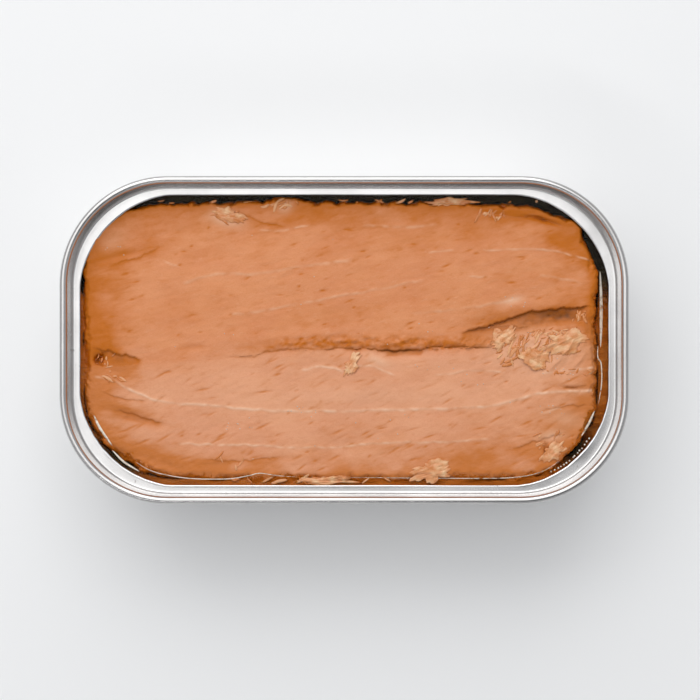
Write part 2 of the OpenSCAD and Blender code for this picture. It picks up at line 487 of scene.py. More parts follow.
@dataclass(frozen=True)
class PaintedGlint:
    """A pale finish whose colour is a painted highlight: the lamps' reflection in the oil's skin where it bends up into
    a thin line, and on droplets and bubbles.
    """

    name: str = "painted_oil_glint"
    colour: tuple[float, float, float] = (0.92, 0.83, 0.70)

    def material(self) -> bpy.types.Material:
        """Builds the finish.

        Returns:
            The material.
        """
        s = Shader(self.name)
        # Painted highlight: a pale colour, shown where the strong attribute and a broken noise allow.
        broken = s.noise(s.place((0.8, 0.8, 0.8)), detail=3.0)
        shown = s.attribute("strong") * broken.between(0.25, 0.55)
        return s.finish(Base_Color=self.colour, Roughness=0.1, Specular_IOR_Level=1.0, Alpha=shown.clamped())


@dataclass(frozen=True)
class Flesh:
    """Cooked tuna: matte and fine-grained, stained and oily along its edges, with painted shade in its cracks, folds
    and gaps.
    """

    name: str
    plain: tuple[float, float, float]
    light: tuple[float, float, float]
    front_plain: tuple[float, float, float] = (0.71, 0.298, 0.156)
    front_light: tuple[float, float, float] = (0.77, 0.346, 0.186)
    stained: tuple[float, float, float] = (0.555, 0.148, 0.010)
    pale: tuple[float, float, float] = (0.86, 0.52, 0.34)
    # Near-black colour of the painted shade in the crack, folds, pits and gaps.
    dark: tuple[float, float, float] = (0.016, 0.006, 0.001)
    grain_turn: float = 14.0
    roughness: float = 0.55
    shine: float = 0.2

    def material(self) -> bpy.types.Material:
        """Builds the finish.

        Returns:
            The material.
        """
        s = Shader(self.name)
        wet, pale, dark = s.attribute("wet"), s.attribute("pale"), s.attribute("dark")
        fibres = s.noise(s.place((0.7, 2.6, 1.0), self.grain_turn), detail=4.0, rough=0.6, warp=0.8)
        fine = s.noise(s.place((3.6, 5.0, 4.0), self.grain_turn), detail=3.0, rough=0.65)
        clouds = s.noise(s.place((0.09, 0.16, 0.1), self.grain_turn), detail=3.0)
        patches = s.noise(s.place((0.35, 0.8, 0.5), self.grain_turn), detail=5.0, rough=0.62)
        front, cloudy = s.attribute("front"), clouds.between(0.3, 0.7)
        ground = s.mix(front, s.mix(cloudy, self.plain, self.light), s.mix(cloudy, self.front_plain, self.front_light))
        ground = s.mix(fibres.between(0.5, 0.85) * 0.22, ground, self.pale)
        ground = s.mix((1.0 - fine.between(0.25, 0.55)) * 0.24, ground, self.stained)
        ground = s.mix(patches.between(0.52, 0.75) * 0.26, ground, self.stained)
        # The soaking share also carries painted shade from folds and the crack, and stains and glosses those places.
        soaked_and_shaded = (wet + (patches - 0.5) * 1.5 * (wet * (1.15 - wet)) * 2.0).clamped()
        ground = s.mix(soaked_and_shaded, ground, self.stained)
        ground = s.mix((pale + (fine - 0.5) * 0.3 * pale).clamped(), ground, self.pale)
        # Painted shade: mixes towards near black where the fish carries painted shade.
        ground = s.mix(dark.clamped(), ground, self.dark)
        rough = self.roughness - soaked_and_shaded * 0.26 + (fine - 0.5) * 0.1
        relief = s.bump(fine, 0.045, under=s.bump(fibres, 0.030))
        return s.finish(Base_Color=ground, Roughness=rough.clamped(), Normal=relief, Specular_IOR_Level=self.shine)


# ------------------------------------------------------------------ helpers on meshes


def only(geom: list, *kinds: type) -> list:
    """The vertices, edges or faces of the kinds that are asked for."""
    return [g for g in geom if isinstance(g, kinds)]


def grow(bm: bmesh.types.BMesh, edges: list, move: tuple | Vector) -> list:
    """Extrudes edges and moves what grows.

    Args:
        bm: The mesh.
        edges: The edges.
        move: How far the new ones go.

    Returns:
        The new edges and vertices.
    """
    grown = bmesh.ops.extrude_edge_only(bm, edges=edges)["geom"]
    bmesh.ops.translate(bm, verts=only(grown, POINT), vec=move)
    return only(grown, POINT, EDGE)


def swing(bm: bmesh.types.BMesh, geom: list, centre: tuple | Vector, axis: tuple, angle: float, steps: int) -> list:
    """Spins a section.

    Args:
        bm: The mesh.
        geom: The section's edges and vertices.
        centre: A point on the axis.
        axis: The axis.
        angle: How far, in radians.
        steps: In how many steps.

    Returns:
        The last copy of the section.
    """
    return bmesh.ops.spin(bm, geom=geom, cent=centre, axis=axis, dvec=(0, 0, 0), angle=angle, steps=steps,
                          use_merge=False, use_normal_flip=False, use_duplicate=False)["geom_last"]


def places(bm: bmesh.types.BMesh) -> np.ndarray:
    """The mesh's points as rows of X, Y and Z."""
    return np.array([v.co[:] for v in bm.verts])


def settle(bm: bmesh.types.BMesh, x: np.ndarray, y: np.ndarray, z: np.ndarray) -> None:
    """Puts the mesh's points where they are said to be."""
    for vert, spot in zip(bm.verts, zip(x, y, z)):
        vert.co = spot


# ------------------------------------------------------------------ the can's plan and its sweeps


@dataclass
class Plan:
    """The can's rounded rectangle, from the frame's box and the corner radius."""

    corner: float = 20.0
    low: Vector = field(default_factory=lambda: Vector(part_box("lid_ring")[0]) / MM)
    high: Vector = field(default_factory=lambda: Vector(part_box("lid_ring")[1]) / MM)

    @property
    def half_x(self) -> float:
        """Half the length of the block between the corners' centres."""
        return (self.high.x - self.low.x) / 2 - self.corner

    @property
    def half_y(self) -> float:
        """Half the width of that block."""
        return (self.high.y - self.low.y) / 2 - self.corner

    @property
    def top(self) -> float:
        """Height of the seam's crown."""
        return self.high.z

    def offset(self, x: np.ndarray, y: np.ndarray) -> tuple[np.ndarray, np.ndarray]:
        """Offset of places from the block between the corners' centres."""
        return (np.sign(x) * np.maximum(np.abs(x) - self.half_x, 0),
                np.sign(y) * np.maximum(np.abs(y) - self.half_y, 0))

    def reach(self, x: np.ndarray, y: np.ndarray) -> np.ndarray:
        """Distance of places outwards from that block."""
        return np.hypot(*self.offset(x, y))

    def sweep(self, bm: bmesh.types.BMesh, section: list, turn_steps: int = 26, run_steps: int = 10) -> list:
        """Sweeps edges that stand over +X of the first corner once round the can.

        Args:
            bm: The mesh.
            section: The edges and their vertices.
            turn_steps: Steps round a corner.
            run_steps: Steps along a straight.

        Returns:
            The last copy of the section.
        """
        geom = section
        corners = [(1, 1), (-1, 1), (-1, -1), (1, -1)]
        runs = [(-2 * self.half_x, 0), (0, -2 * self.half_y), (2 * self.half_x, 0), (0, 2 * self.half_y)]
        for (cx, cy), run in zip(corners, runs):
            centre = (cx * self.half_x, cy * self.half_y, 0)
            geom = swing(bm, geom, centre, (0, 0, 1), math.pi / 2, turn_steps)
            for _ in range(run_steps):
                geom = grow(bm, only(geom, EDGE), (run[0] / run_steps, run[1] / run_steps, 0))
        return geom


class Strip:
    """A sheet's section, bent along a route in the plane of X and Z."""

    def __init__(self, bm: bmesh.types.BMesh, start: tuple[float, float], heading: float, thickness: float) -> None:
        """Sets the first edge across the sheet.

        Args:
            bm: The mesh.
            start: Distance outwards and height of the sheet's middle.
            heading: Direction in degrees, anticlockwise from outwards.
            thickness: The sheet's thickness.
        """
        self.bm = bm
        self.x, self.z = start
        self.heading = heading
        side = self._along(heading + 90) * (thickness / 2)
        middle = Vector((self.x, 0, self.z))
        ends = [bm.verts.new(middle + side), bm.verts.new(middle - side)]
        self.geom = [bm.edges.new(ends), *ends]

    @staticmethod
    def _along(degrees: float) -> Vector:
        """Unit vector in the plane of the section."""
        return Vector((math.cos(math.radians(degrees)), 0, math.sin(math.radians(degrees))))

    def straight(self, length: float, steps: int = 1) -> "Strip":
        """Runs on straight.

        Args:
            length: How far.
            steps: In how many steps.

        Returns:
            The strip itself.
        """
        for _ in range(steps):
            move = self._along(self.heading) * (length / steps)
            self.geom = grow(self.bm, only(self.geom, EDGE), move)
            self.x += move.x
            self.z += move.z
        return self

    def bend(self, radius: float, degrees: float, step: float = 9.0) -> "Strip":
        """Bends to the left for a positive angle, at a radius of the sheet's middle.

        Args:
            radius: The bend's radius.
            degrees: How far it turns.
            step: The turn of one step.

        Returns:
            The strip itself.
        """
        side = math.copysign(1.0, degrees)
        centre = Vector((self.x, 0, self.z)) + self._along(self.heading + 90) * (side * radius)
        steps = max(2, round(abs(degrees) / step))
        self.geom = swing(self.bm, self.geom, centre, (0, -1, 0), math.radians(degrees), steps)
        self.heading += degrees
        end = centre - self._along(self.heading + 90) * (side * radius)
        self.x, self.z = end.x, end.z
        return self

    def outline(self) -> list:
        """Leaves only the strip's outline, and gives its edges and vertices."""
        bmesh.ops.delete(self.bm, geom=list(self.bm.faces), context="FACES_KEEP_BOUNDARY")
        return [*self.bm.edges, *self.bm.verts]


def hand_over(bm: bmesh.types.BMesh, name: str, material: bpy.types.Material,
              points: dict[str, np.ndarray] | None = None) -> bpy.types.Object:
    """Makes a smooth-shaded object of a mesh in millimetres.

    Args:
        bm: The mesh, which is freed.
        name: The object's name.
        material: Its finish.
        points: Numbers that its points carry, by name.

    Returns:
        The object, in metres at the origin.
    """
    bmesh.ops.scale(bm, vec=(MM, MM, MM), verts=bm.verts)
    mesh = bpy.data.meshes.new(name)
    bm.to_mesh(mesh)
    bm.free()
    for key, values in (points or {}).items():
        mesh.attributes.new(key, "FLOAT", "POINT").data.foreach_set("value", values.astype(np.float32))
    mesh.shade_smooth()
    mesh.materials.append(material)
    piece = bpy.data.objects.new(name, mesh)
    bpy.context.scene.collection.objects.link(piece)
    return piece


def enter(piece: bpy.types.Object, node: str | None = None) -> bpy.types.Object:
    """Enters a piece on the can's only body.

    Args:
        piece: The piece.
        node: The node of the CAD model that it stands for, if any.

    Returns:
        The piece.
    """
    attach(piece, "root")
    if node:
        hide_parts(node)
    return piece


def gather(whole: bmesh.types.BMesh, part: bmesh.types.BMesh) -> None:
    """Adds one mesh to another and frees it.

    Args:
        whole: The mesh that grows.
        part: The mesh that is added.
    """
    carried = bpy.data.meshes.new("carried")
    part.to_mesh(carried)
    part.free()
    whole.from_mesh(carried)
    bpy.data.meshes.remove(carried)


@dataclass
class Can:
    """Drawn body and the rim that the lid leaves, swept round the can."""

    plan: Plan
    sheet: float = 0.25
    seam_gap: float = 0.03
    seam_h: float = 3.0
    ledge_drop: float = 4.8
    ledge_w: float = 1.1
    ledge_bend: float = 0.5
    corner_w: float = 0.85
    chuck_lean: float = 4.0
    base_r: float = 2.0
    stand_w: float = 1.6
    panel_lift: float = 1.0
    bead_lift: float = 0.4
    bead_in: float = 5.0
    step_bend: float = 0.5
    step_turn: float = 60.0
    burr_h: float = 0.03
    burr_w: float = 0.05
    dent_front: float = 0.03
    dent_corner: float = 0.09

    def __post_init__(self) -> None:
        """Works out the seam's own sizes."""
        self.fold = self.sheet + self.seam_gap
        self.crown_r = 2 * self.fold
        self.crown_z = self.plan.top - self.sheet / 2 - self.crown_r
        self.foot_z = self.plan.top - self.seam_h + self.sheet / 2 + self.fold
        self.hook = self.crown_z - self.foot_z - self.sheet

    def _swept(self, bm: bmesh.types.BMesh) -> None:
        """Sweeps the strip's outline round the can and closes it.

        Args:
            bm: The mesh, which holds only the outline.
        """
        section = [*bm.edges, *bm.verts]
        bmesh.ops.translate(bm, verts=bm.verts, vec=(self.plan.half_x, self.plan.half_y, 0))
        self.plan.sweep(bm, section)
        bmesh.ops.remove_doubles(bm, verts=bm.verts, dist=MERGED)

    def rim(self, material: bpy.types.Material) -> bpy.types.Object:
        """Builds the seamed rim down to the torn edge.

        Args:
            material: Its finish.

        Returns:
            The piece.
        """
        bm = bmesh.new()
        start = (self.plan.corner - 2.5 * self.sheet - 2 * self.seam_gap, self.foot_z + self.hook)
        lean = math.radians(self.chuck_lean)
        chuck = self.crown_z - self.plan.top + self.ledge_drop + self.sheet / 2 - self.ledge_bend
        chuck += (self.crown_r + self.ledge_bend) * math.sin(lean)
        strip = Strip(bm, start, -90, self.sheet)
        strip.straight(self.hook).bend(self.fold, 180).straight(self.crown_z - self.foot_z, 3)
        strip.bend(self.crown_r, 180 - self.chuck_lean)
        strip.straight(chuck / math.cos(lean), 6)
        strip.bend(self.ledge_bend, self.chuck_lean - 90).straight(self.ledge_w, 5)
        strip.outline()
        edge = strip.x
        self._swept(bm)
        bmesh.ops.recalc_face_normals(bm, faces=bm.faces)
        spots = places(bm)
        reach = self.plan.reach(spots[:, 0], spots[:, 1])
        on_ledge = spots[:, 2] < self.plan.top - self.ledge_drop + 0.3
        torn = smooth(edge + 0.25, edge, reach) * on_ledge
        burr = noise(spots[:, 0] / 0.9, spots[:, 1] / 0.9, 5, 2)
        dx, dy = self.plan.offset(spots[:, 0], spots[:, 1])
        corner = np.abs(dx * dy) / reach ** 2
        flat = smooth(edge + self.ledge_w, edge, reach) * on_ledge
        inward = flat * self.corner_w * 2 * corner + torn * self.burr_w * burr
        front = smooth(-20, -26, spots[:, 1]) * smooth(34, 24, np.abs(spots[:, 0] - 2))
        bends = corner * noise(spots[:, 0] / 3.4, spots[:, 1] / 3.4, 7, 2) * self.dent_corner
        dents = (noise(spots[:, 0] / 2.2, spots[:, 1] / 1.6, 6, 2) * front * self.dent_front + bends) * (flat + 0.2)
        for v, t, b, ox, oy, r, w, d in zip(bm.verts, torn, burr, dx, dy, reach, inward, dents):
            v.co.z += t * (0.02 + self.burr_h * b) + d * (v.co.z < self.crown_z)
            v.co.x -= ox / r * w
            v.co.y -= oy / r * w
        piece = hand_over(bm, "seamed_rim", material, self._rim_points(spots))
        return enter(piece, "lid_ring")

    def _rim_points(self, spots: np.ndarray) -> dict[str, np.ndarray]:
        """Reach and height of given places."""
        return {"reach": self.plan.reach(spots[:, 0], spots[:, 1]), "height": spots[:, 2]}

    def body(self, material: bpy.types.Material) -> bpy.types.Object:
        """Builds the drawn body with its base.

        Args:
            material: Its finish.

        Returns:
            The piece.
        """
        bm = bmesh.new()
        start = (self.plan.corner - 1.5 * self.sheet - self.seam_gap, self.crown_z - self.hook)
        step_up = self.panel_lift - 2 * self.step_bend * (1 - math.cos(math.radians(self.step_turn)))
        bead_turn = math.degrees(math.acos(1 - self.bead_lift / (2 * self.step_bend)))
        strip = Strip(bm, start, 90, self.sheet)
        strip.straight(self.hook).bend(self.fold, 180).straight(self.crown_z - self.base_r - self.sheet / 2, 8)
        strip.bend(self.base_r, -90).straight(self.stand_w, 2).bend(self.step_bend, -self.step_turn, 12)
        strip.straight(step_up / math.sin(math.radians(self.step_turn))).bend(self.step_bend, self.step_turn, 12)
        strip.straight(self.bead_in, 2).bend(self.step_bend, -bead_turn, 12).bend(self.step_bend, bead_turn, 12)
        last = only(strip.geom, POINT)
        inner = last[0].co.x
        heights = sorted(v.co.z for v in last)
        strip.outline()
        self._swept(bm)
        spots = places(bm)
        level = (spots[:, 2] > heights[0] - NEAR) & (spots[:, 2] < heights[1] + NEAR)
        inmost = level & (np.abs(self.plan.reach(spots[:, 0], spots[:, 1]) - inner) < NEAR)
        bm.verts.index_update()
        edge = [e for e in bm.edges if all(inmost[v.index] for v in e.verts)
                and abs(e.verts[0].co.z - e.verts[1].co.z) > 10 * NEAR]
        walls = {f for e in edge for f in e.link_faces if abs(f.normal.z) < 0.5}
        bmesh.ops.delete(bm, geom=list(walls), context="FACES_ONLY")
        bmesh.ops.delete(bm, geom=[e for e in bm.edges if not e.link_faces], context="EDGES")
        bmesh.ops.holes_fill(bm, edges=[e for e in bm.edges if e.is_boundary], sides=0)
        bmesh.ops.recalc_face_normals(bm, faces=bm.faces)
        piece = hand_over(bm, "drawn_body", material, self._rim_points(places(bm)))
        return enter(piece, "can_body")


# ------------------------------------------------------------------ the fish


@dataclass(frozen=True)
class Line:
    """A thin line on the fish that runs from left to right."""

    points: tuple[tuple[float, float], ...]
    width: float = 0.16
    height: float = 0.10
    paleness: float = 0.55

    def share(self, x: np.ndarray, y: np.ndarray) -> np.ndarray:
        """How much a place lies on the line, from 0 to 1.

        Args:
            x: Places along.
            y: Places across.

        Returns:
            The shares.
        """
        first, last = self.points[0][0], self.points[-1][0]
        wander = noise(x / 1.7, y / 9, 31, 2) * 0.16
        off = (y - through(x, self.points) + wander) / self.width
        broken = 0.55 + 0.45 * noise(x / 1.1, y / 5, 32, 2)
        ends = span(x, (first - 0.6, first + 0.8), (last - 0.8, last + 0.6))
        return np.exp(-off * off) * ends * np.clip(broken, 0.12, 1.0)

    def above(self, x: np.ndarray, y: np.ndarray, reach: float) -> np.ndarray:
        """Share that is 1 just above the line and fades over a reach.

        Args:
            x: Places along.
            y: Places across.
            reach: How far it fades.

        Returns:
            The shares.
        """
        first, last = self.points[0][0], self.points[-1][0]
        off = y - through(x, self.points)
        ends = span(x, (first - 1, first + 3), (last - 3, last + 1))
        return smooth(-0.12, 0.12, off) * np.exp(-np.maximum(off, 0) / reach) * ends


@dataclass(frozen=True)
class Fold:
    """A step down along a line, from which the fish rises again towards the front."""

    line: Line
    depth: float
    reach: float

    def share(self, x: np.ndarray, y: np.ndarray, reach: float) -> np.ndarray:
        """Share that is 1 just in front of the step and fades over a reach.

        Args:
            x: Places along.
            y: Places across.
            reach: How far it fades.

        Returns:
            The shares.
        """
        first, last = self.line.points[0][0], self.line.points[-1][0]
        ragged = 0.22 * noise(x / 1.1, y / 3, 33, 3)
        off = through(x, self.line.points) - y + ragged
        ends = span(x, (first - 0.5, first + 3), (last - 1.5, last + 0.5))
        return smooth(-0.10, 0.14, off) * np.exp(-np.maximum(off, 0) / reach) * ends


@dataclass(frozen=True)
class Blob:
    """A soft oval patch."""

    x: float
    y: float
    long: float
    wide: float
    turn: float
    amount: float

    def at(self, x: np.ndarray, y: np.ndarray) -> np.ndarray:
        """Amount at a place."""
        a, b = turned(x - self.x, y - self.y, self.turn)
        return self.amount * np.exp(-(a / self.long) ** 2 - (b / self.wide) ** 2)


def blobs(*rows: tuple[float, ...]) -> tuple[Blob, ...]:
    """Patches from rows of place, half sizes, turn and amount."""
    return tuple(Blob(*row) for row in rows)


SEPTA = (
    Line(((-15.8, 20.7), (-12.4, 20.5), (-6.8, 21.4))),
    Line(((-30.0, 10.8), (-24.5, 12.2), (-16.9, 12.4), (-7.2, 13.9), (1.1, 14.9)), 0.26, 0.10, 0.45),
    Line(((-33.7, 14.7), (-30.7, 13.6))),
    Line(((-21.0, 4.8), (-16.5, 5.3), (-10.0, 6.6), (0.7, 8.5), (6.9, 9.6), (14.7, 11.3)), 0.24, 0.10, 0.45),
    Line(((3.7, 21.4), (11.0, 21.2), (17.2, 21.6)), 0.24, 0.1, 0.4),
    Line(((15.5, 16.4), (20.7, 16.9))),
    Line(((26.1, 16.9), (39.0, 16.7), (46.0, 14.9)), 0.17, 0.12, 0.65),
    Line(((23.1, 11.9), (26.9, 11.9))),
    Line(((36.6, 12.2), (43.9, 10.9)), 0.24, 0.1, 0.4),
    Line(((13.0, 5.0), (18.7, 5.5), (28.6, 7.0), (32.7, 7.8)), 0.26, 0.12, 0.45),
    Line(((-46.6, -7.0), (-42.9, -7.6), (-41.4, -8.5), (-36.5, -10.8), (-25.5, -12.1), (-15.8, -13.0),
          (-8.8, -13.2), (9.5, -13.0), (23.3, -12.6), (28.6, -12.1), (37.2, -9.8), (46.9, -9.3)),
         0.26, 0.22, 1.0),
    Line(((-30.7, -19.4), (-15.2, -19.7), (-4.7, -20.1), (6.1, -19.2), (18.5, -19.0), (26.9, -18.6)),
         0.20, 0.15, 0.8),
    Line(((-7.9, -5.5), (-4.7, -5.0), (-1.4, -5.5), (1.1, -6.5)), 0.24, 0.16, 0.9),
    Line(((-0.8, -5.7), (4.8, -4.8), (8.2, -6.1), (9.3, -6.5)), 0.22, 0.14, 0.8),
    Line(((17.2, -6.5), (26.9, -5.7), (29.7, -6.1)), 0.18, 0.12, 0.6),
    Line(((36.8, -6.1), (40.7, -5.7), (46.5, -5.1)), 0.22, 0.16, 0.9),
    Line(((36.8, -13.7), (40.3, -12.6)), 0.2, 0.14, 0.8),
)
FOLDS = (
    Fold(Line(((21.5, 1.2), (28.0, 3.0), (34.7, 5.2), (40.0, 5.9), (45.8, 6.3))), 0.90, 1.7),
    Fold(Line(((-47.2, -1.4), (-43.5, -2.2), (-38.0, -3.6))), 0.55, 1.6),
    Fold(Line(((-43.6, -12.9), (-38.5, -14.2), (-33.8, -15.5))), 0.28, 0.9),
    Fold(Line(((-46.0, -9.6), (-41.0, -11.0), (-36.8, -11.4))), 0.20, 0.6),
    Fold(Line(((-44.5, 13.9), (-39.0, 15.4), (-34.5, 17.4))), 0.22, 1.1),
    Fold(Line(((30.5, -20.5), (36.0, -18.8), (41.6, -17.2))), 0.30, 0.9),
    Fold(Line(((36.0, -13.4), (40.0, -12.4), (45.5, -12.2))), 0.22, 0.8),
    Fold(Line(((39.0, -8.6), (42.0, -8.9), (45.8, -8.4))), 0.25, 0.35),
    Fold(Line(((30.5, 23.2), (35.0, 23.4), (41.0, 21.4))), 0.35, 0.5),
    Fold(Line(((-20.5, 24.3), (-15.5, 22.2), (-11.0, 21.2))), 0.22, 0.9),
    Fold(Line(((25.0, 1.9), (30.0, 2.6), (35.0, 2.4))), 0.30, 0.6),
    Fold(Line(((-26.5, -22.2), (-20.0, -22.6), (-12.0, -21.8))), 0.22, 0.6),
)
HOLLOWS = blobs(
    (-44.5, -4.6, 3.4, 2.4, -20, -0.55), (-46.0, -3.5, 0.9, 0.7, 30, -0.9), (-38.8, -14.6, 4.6, 0.8, -16, -0.40),
    (-28.2, -1.4, 2.0, 0.5, 4, -0.18), (39.9, 4.3, 5.0, 1.5, 6, -0.75), (29.0, 3.5, 5.5, 1.5, 8, -0.38),
    (-36.0, -22.4, 8.0, 2.6, -14, -0.35), (29.2, 23.6, 2.8, 0.5, -8, -0.35), (36.8, 22.6, 3.4, 0.45, -14, -0.45),
    (37.8, -20.8, 0.5, 1.5, 8, -0.6), (44.0, -16.0, 3.0, 5.5, -20, -0.45), (-41.5, 15.8, 5.5, 0.6, 14, -0.22),
    (31.5, 7.4, 2.2, 0.8, 12, -0.16), (42.6, -8.9, 2.8, 0.35, -6, -0.3), (10.0, -2.6, 6.5, 0.9, 0, -0.25),
    (-24.5, -16.4, 9.0, 2.2, 4, -0.12),
)
SWELLS = blobs(
    (-14.0, 11.0, 18.0, 7.0, 8, 0.22), (-40.0, 5.0, 7.0, 6.0, 0, 0.15), (18.0, 12.0, 12.0, 6.0, 6, 0.15),
    (2.0, -10.0, 22.0, 3.4, 2, 0.18), (5.0, -16.6, 24.0, 2.6, 2, 0.16), (36.0, -1.5, 9.0, 3.6, -6, 0.22),
    (6.2, -3.4, 1.7, 0.9, -26, 0.30), (-21.9, 22.8, 3.0, 1.4, -10, 0.25), (-12.0, 0.6, 12.0, 1.2, 4, 0.16),
    (18.0, 0.6, 10.0, 1.1, 2, 0.14), (44.0, 4.9, 1.4, 1.2, 0, 0.55),
)
STAINS = blobs(
    (-43.5, -4.6, 5.0, 3.4, -20, 1.1), (-28.2, -1.4, 2.4, 0.7, 4, 0.3), (-38.8, -14.6, 5.0, 1.1, -16, 0.7),
    (39.9, 4.3, 6.0, 2.0, 6, 1.0), (29.0, 3.5, 6.5, 2.0, 8, 0.8), (-41.5, 15.8, 6.5, 1.2, 14, 0.65),
    (40.3, 18.5, 4.4, 1.6, -8, 0.7), (29.2, 23.6, 4.0, 1.4, -8, 0.7), (-36.0, -22.4, 8.0, 2.6, -14, 0.8),
    (41.5, -17.0, 6.0, 5.4, -20, 0.8), (-41.0, -12.8, 4.5, 1.0, -8, 0.6), (-45.0, -9.5, 2.0, 3.0, 0, 0.6),
    (28.0, -21.5, 12.0, 3.2, 8, 0.55), (-25.0, -22.8, 4.0, 1.2, 4, 0.5), (-12.0, -22.6, 5.0, 1.1, 8, 0.4),
    (45.0, -10.5, 2.6, 3.0, 0, 0.4), (-45.5, 2.0, 2.4, 4.0, 0, 0.5), (0.0, -3.6, 15.0, 1.8, 1, 0.20),
    (30.0, -14.0, 13.0, 6.0, 0, 0.12), (34.0, 14.0, 14.0, 8.0, 0, 0.10), (-36.0, 20.0, 9.0, 2.5, 20, 0.3),
    (-5.0, 22.5, 12.0, 1.6, 2, 0.3), (-2.0, 4.5, 14.0, 2.4, 8, 0.18), (8.0, 17.6, 16.0, 2.0, 3, 0.20),
    (37.8, -20.8, 1.2, 2.0, 8, 0.7), (22.0, 20.0, 7.0, 2.0, 3, 0.25), (-30.0, 6.0, 8.0, 3.0, 10, 0.2),
    (-43.0, 10.0, 4.0, 5.0, 0, 0.35),
)
# Spots of painted shade in pits and recesses.
SHADE_SPOTS = blobs(
    (40.0, 4.8, 4.6, 0.8, 4, 0.38), (34.0, 3.4, 3.6, 0.7, 14, 0.24), (-43.0, -3.4, 2.6, 0.7, -14, 0.22),
    (-46.0, -3.5, 0.9, 0.7, 30, 0.9), (40.5, 4.1, 4.6, 0.7, 3, 0.42), (34.0, 2.6, 4.0, 0.5, 14, 0.30),
    (-43.0, -5.2, 2.6, 1.0, -10, 0.18), (-39.5, -14.6, 4.0, 0.45, -8, 0.22), (-41.5, -12.6, 3.0, 0.3, -12, 0.15),
    (37.8, -20.6, 0.45, 1.4, 8, 0.35), (10.0, 1.0, 5.5, 0.5, 3, 0.14), (-3.0, 0.5, 4.0, 0.4, 5, 0.12),
    (29.5, 23.4, 2.6, 0.35, -8, 0.20), (37.0, 22.6, 3.2, 0.28, -14, 0.35), (42.6, -8.9, 2.6, 0.22, -6, 0.35),
    (-34.0, -22.6, 5.0, 0.7, -16, 0.22), (-24.0, -22.9, 3.5, 0.35, 4, 0.2), (45.5, 2.6, 1.0, 1.4, 0, 0.3),
    (-41.2, -21.6, 3.6, 1.1, -42, 0.40),
)
# Front corners where the oil's depth gets painted shade.
SHADED_CORNERS = blobs(
    (43.2, -20.4, 4.5, 2.4, 45, 0.9), (-42.0, -21.5, 8.0, 4.0, -40, 0.8),
)
PALES = blobs(
    (-22.0, 22.8, 2.9, 1.4, -12, 0.9), (-43.2, 18.6, 2.6, 2.0, 30, 0.25), (36.0, -1.5, 9.5, 4.0, -6, 0.45),
    (31.5, 7.4, 2.0, 0.8, 12, 0.6), (6.2, -3.8, 2.4, 1.0, -26, 0.4), (-11.0, 25.0, 1.6, 1.2, 40, 0.5),
    (4.0, -10.6, 26.0, 2.2, 1, 0.16), (8.0, -3.8, 12.0, 1.2, -2, 0.10), (38.8, -18.0, 2.6, 1.1, 8, 0.55),
    (41.5, -14.6, 4.5, 1.8, -15, 0.30), (43.8, -9.6, 2.4, 0.8, 0, 0.25),
)
BULGES = blobs(
    (-44.5, 18.5, 8.0, 5.5, 50, 2.0), (-18.0, 26.0, 5.0, 3.0, 0, 0.5), (-10.5, 26.0, 3.0, 3.0, 0, 0.9),
    (5.0, 26.0, 34.0, 4.0, 0, 0.45), (43.2, 21.0, 2.6, 2.6, 0, 1.5), (47.5, 11.5, 2.0, 2.0, 0, 0.5),
    (32.0, 26.0, 8.0, 3.0, 0, -0.4), (47.5, 3.5, 2.5, 2.5, 0, -0.4), (-47.0, 3.0, 3.0, 8.0, 0, 0.3),
    (-39.5, -21.5, 6.0, 3.0, -35, -1.1), (0.0, -25.5, 34.0, 4.0, 0, 0.5), (42.0, -20.5, 4.0, 4.0, 0, -0.3),
)
PART = ((-48.0, -5.0), (-36.0, -4.4), (-23.4, -3.5), (-17.3, -2.7), (-10.3, -2.0), (-1.9, -1.5), (8.0, -1.7),
        (18.0, -1.6), (25.5, -1.3), (36.0, -0.8), (48.0, -0.6))


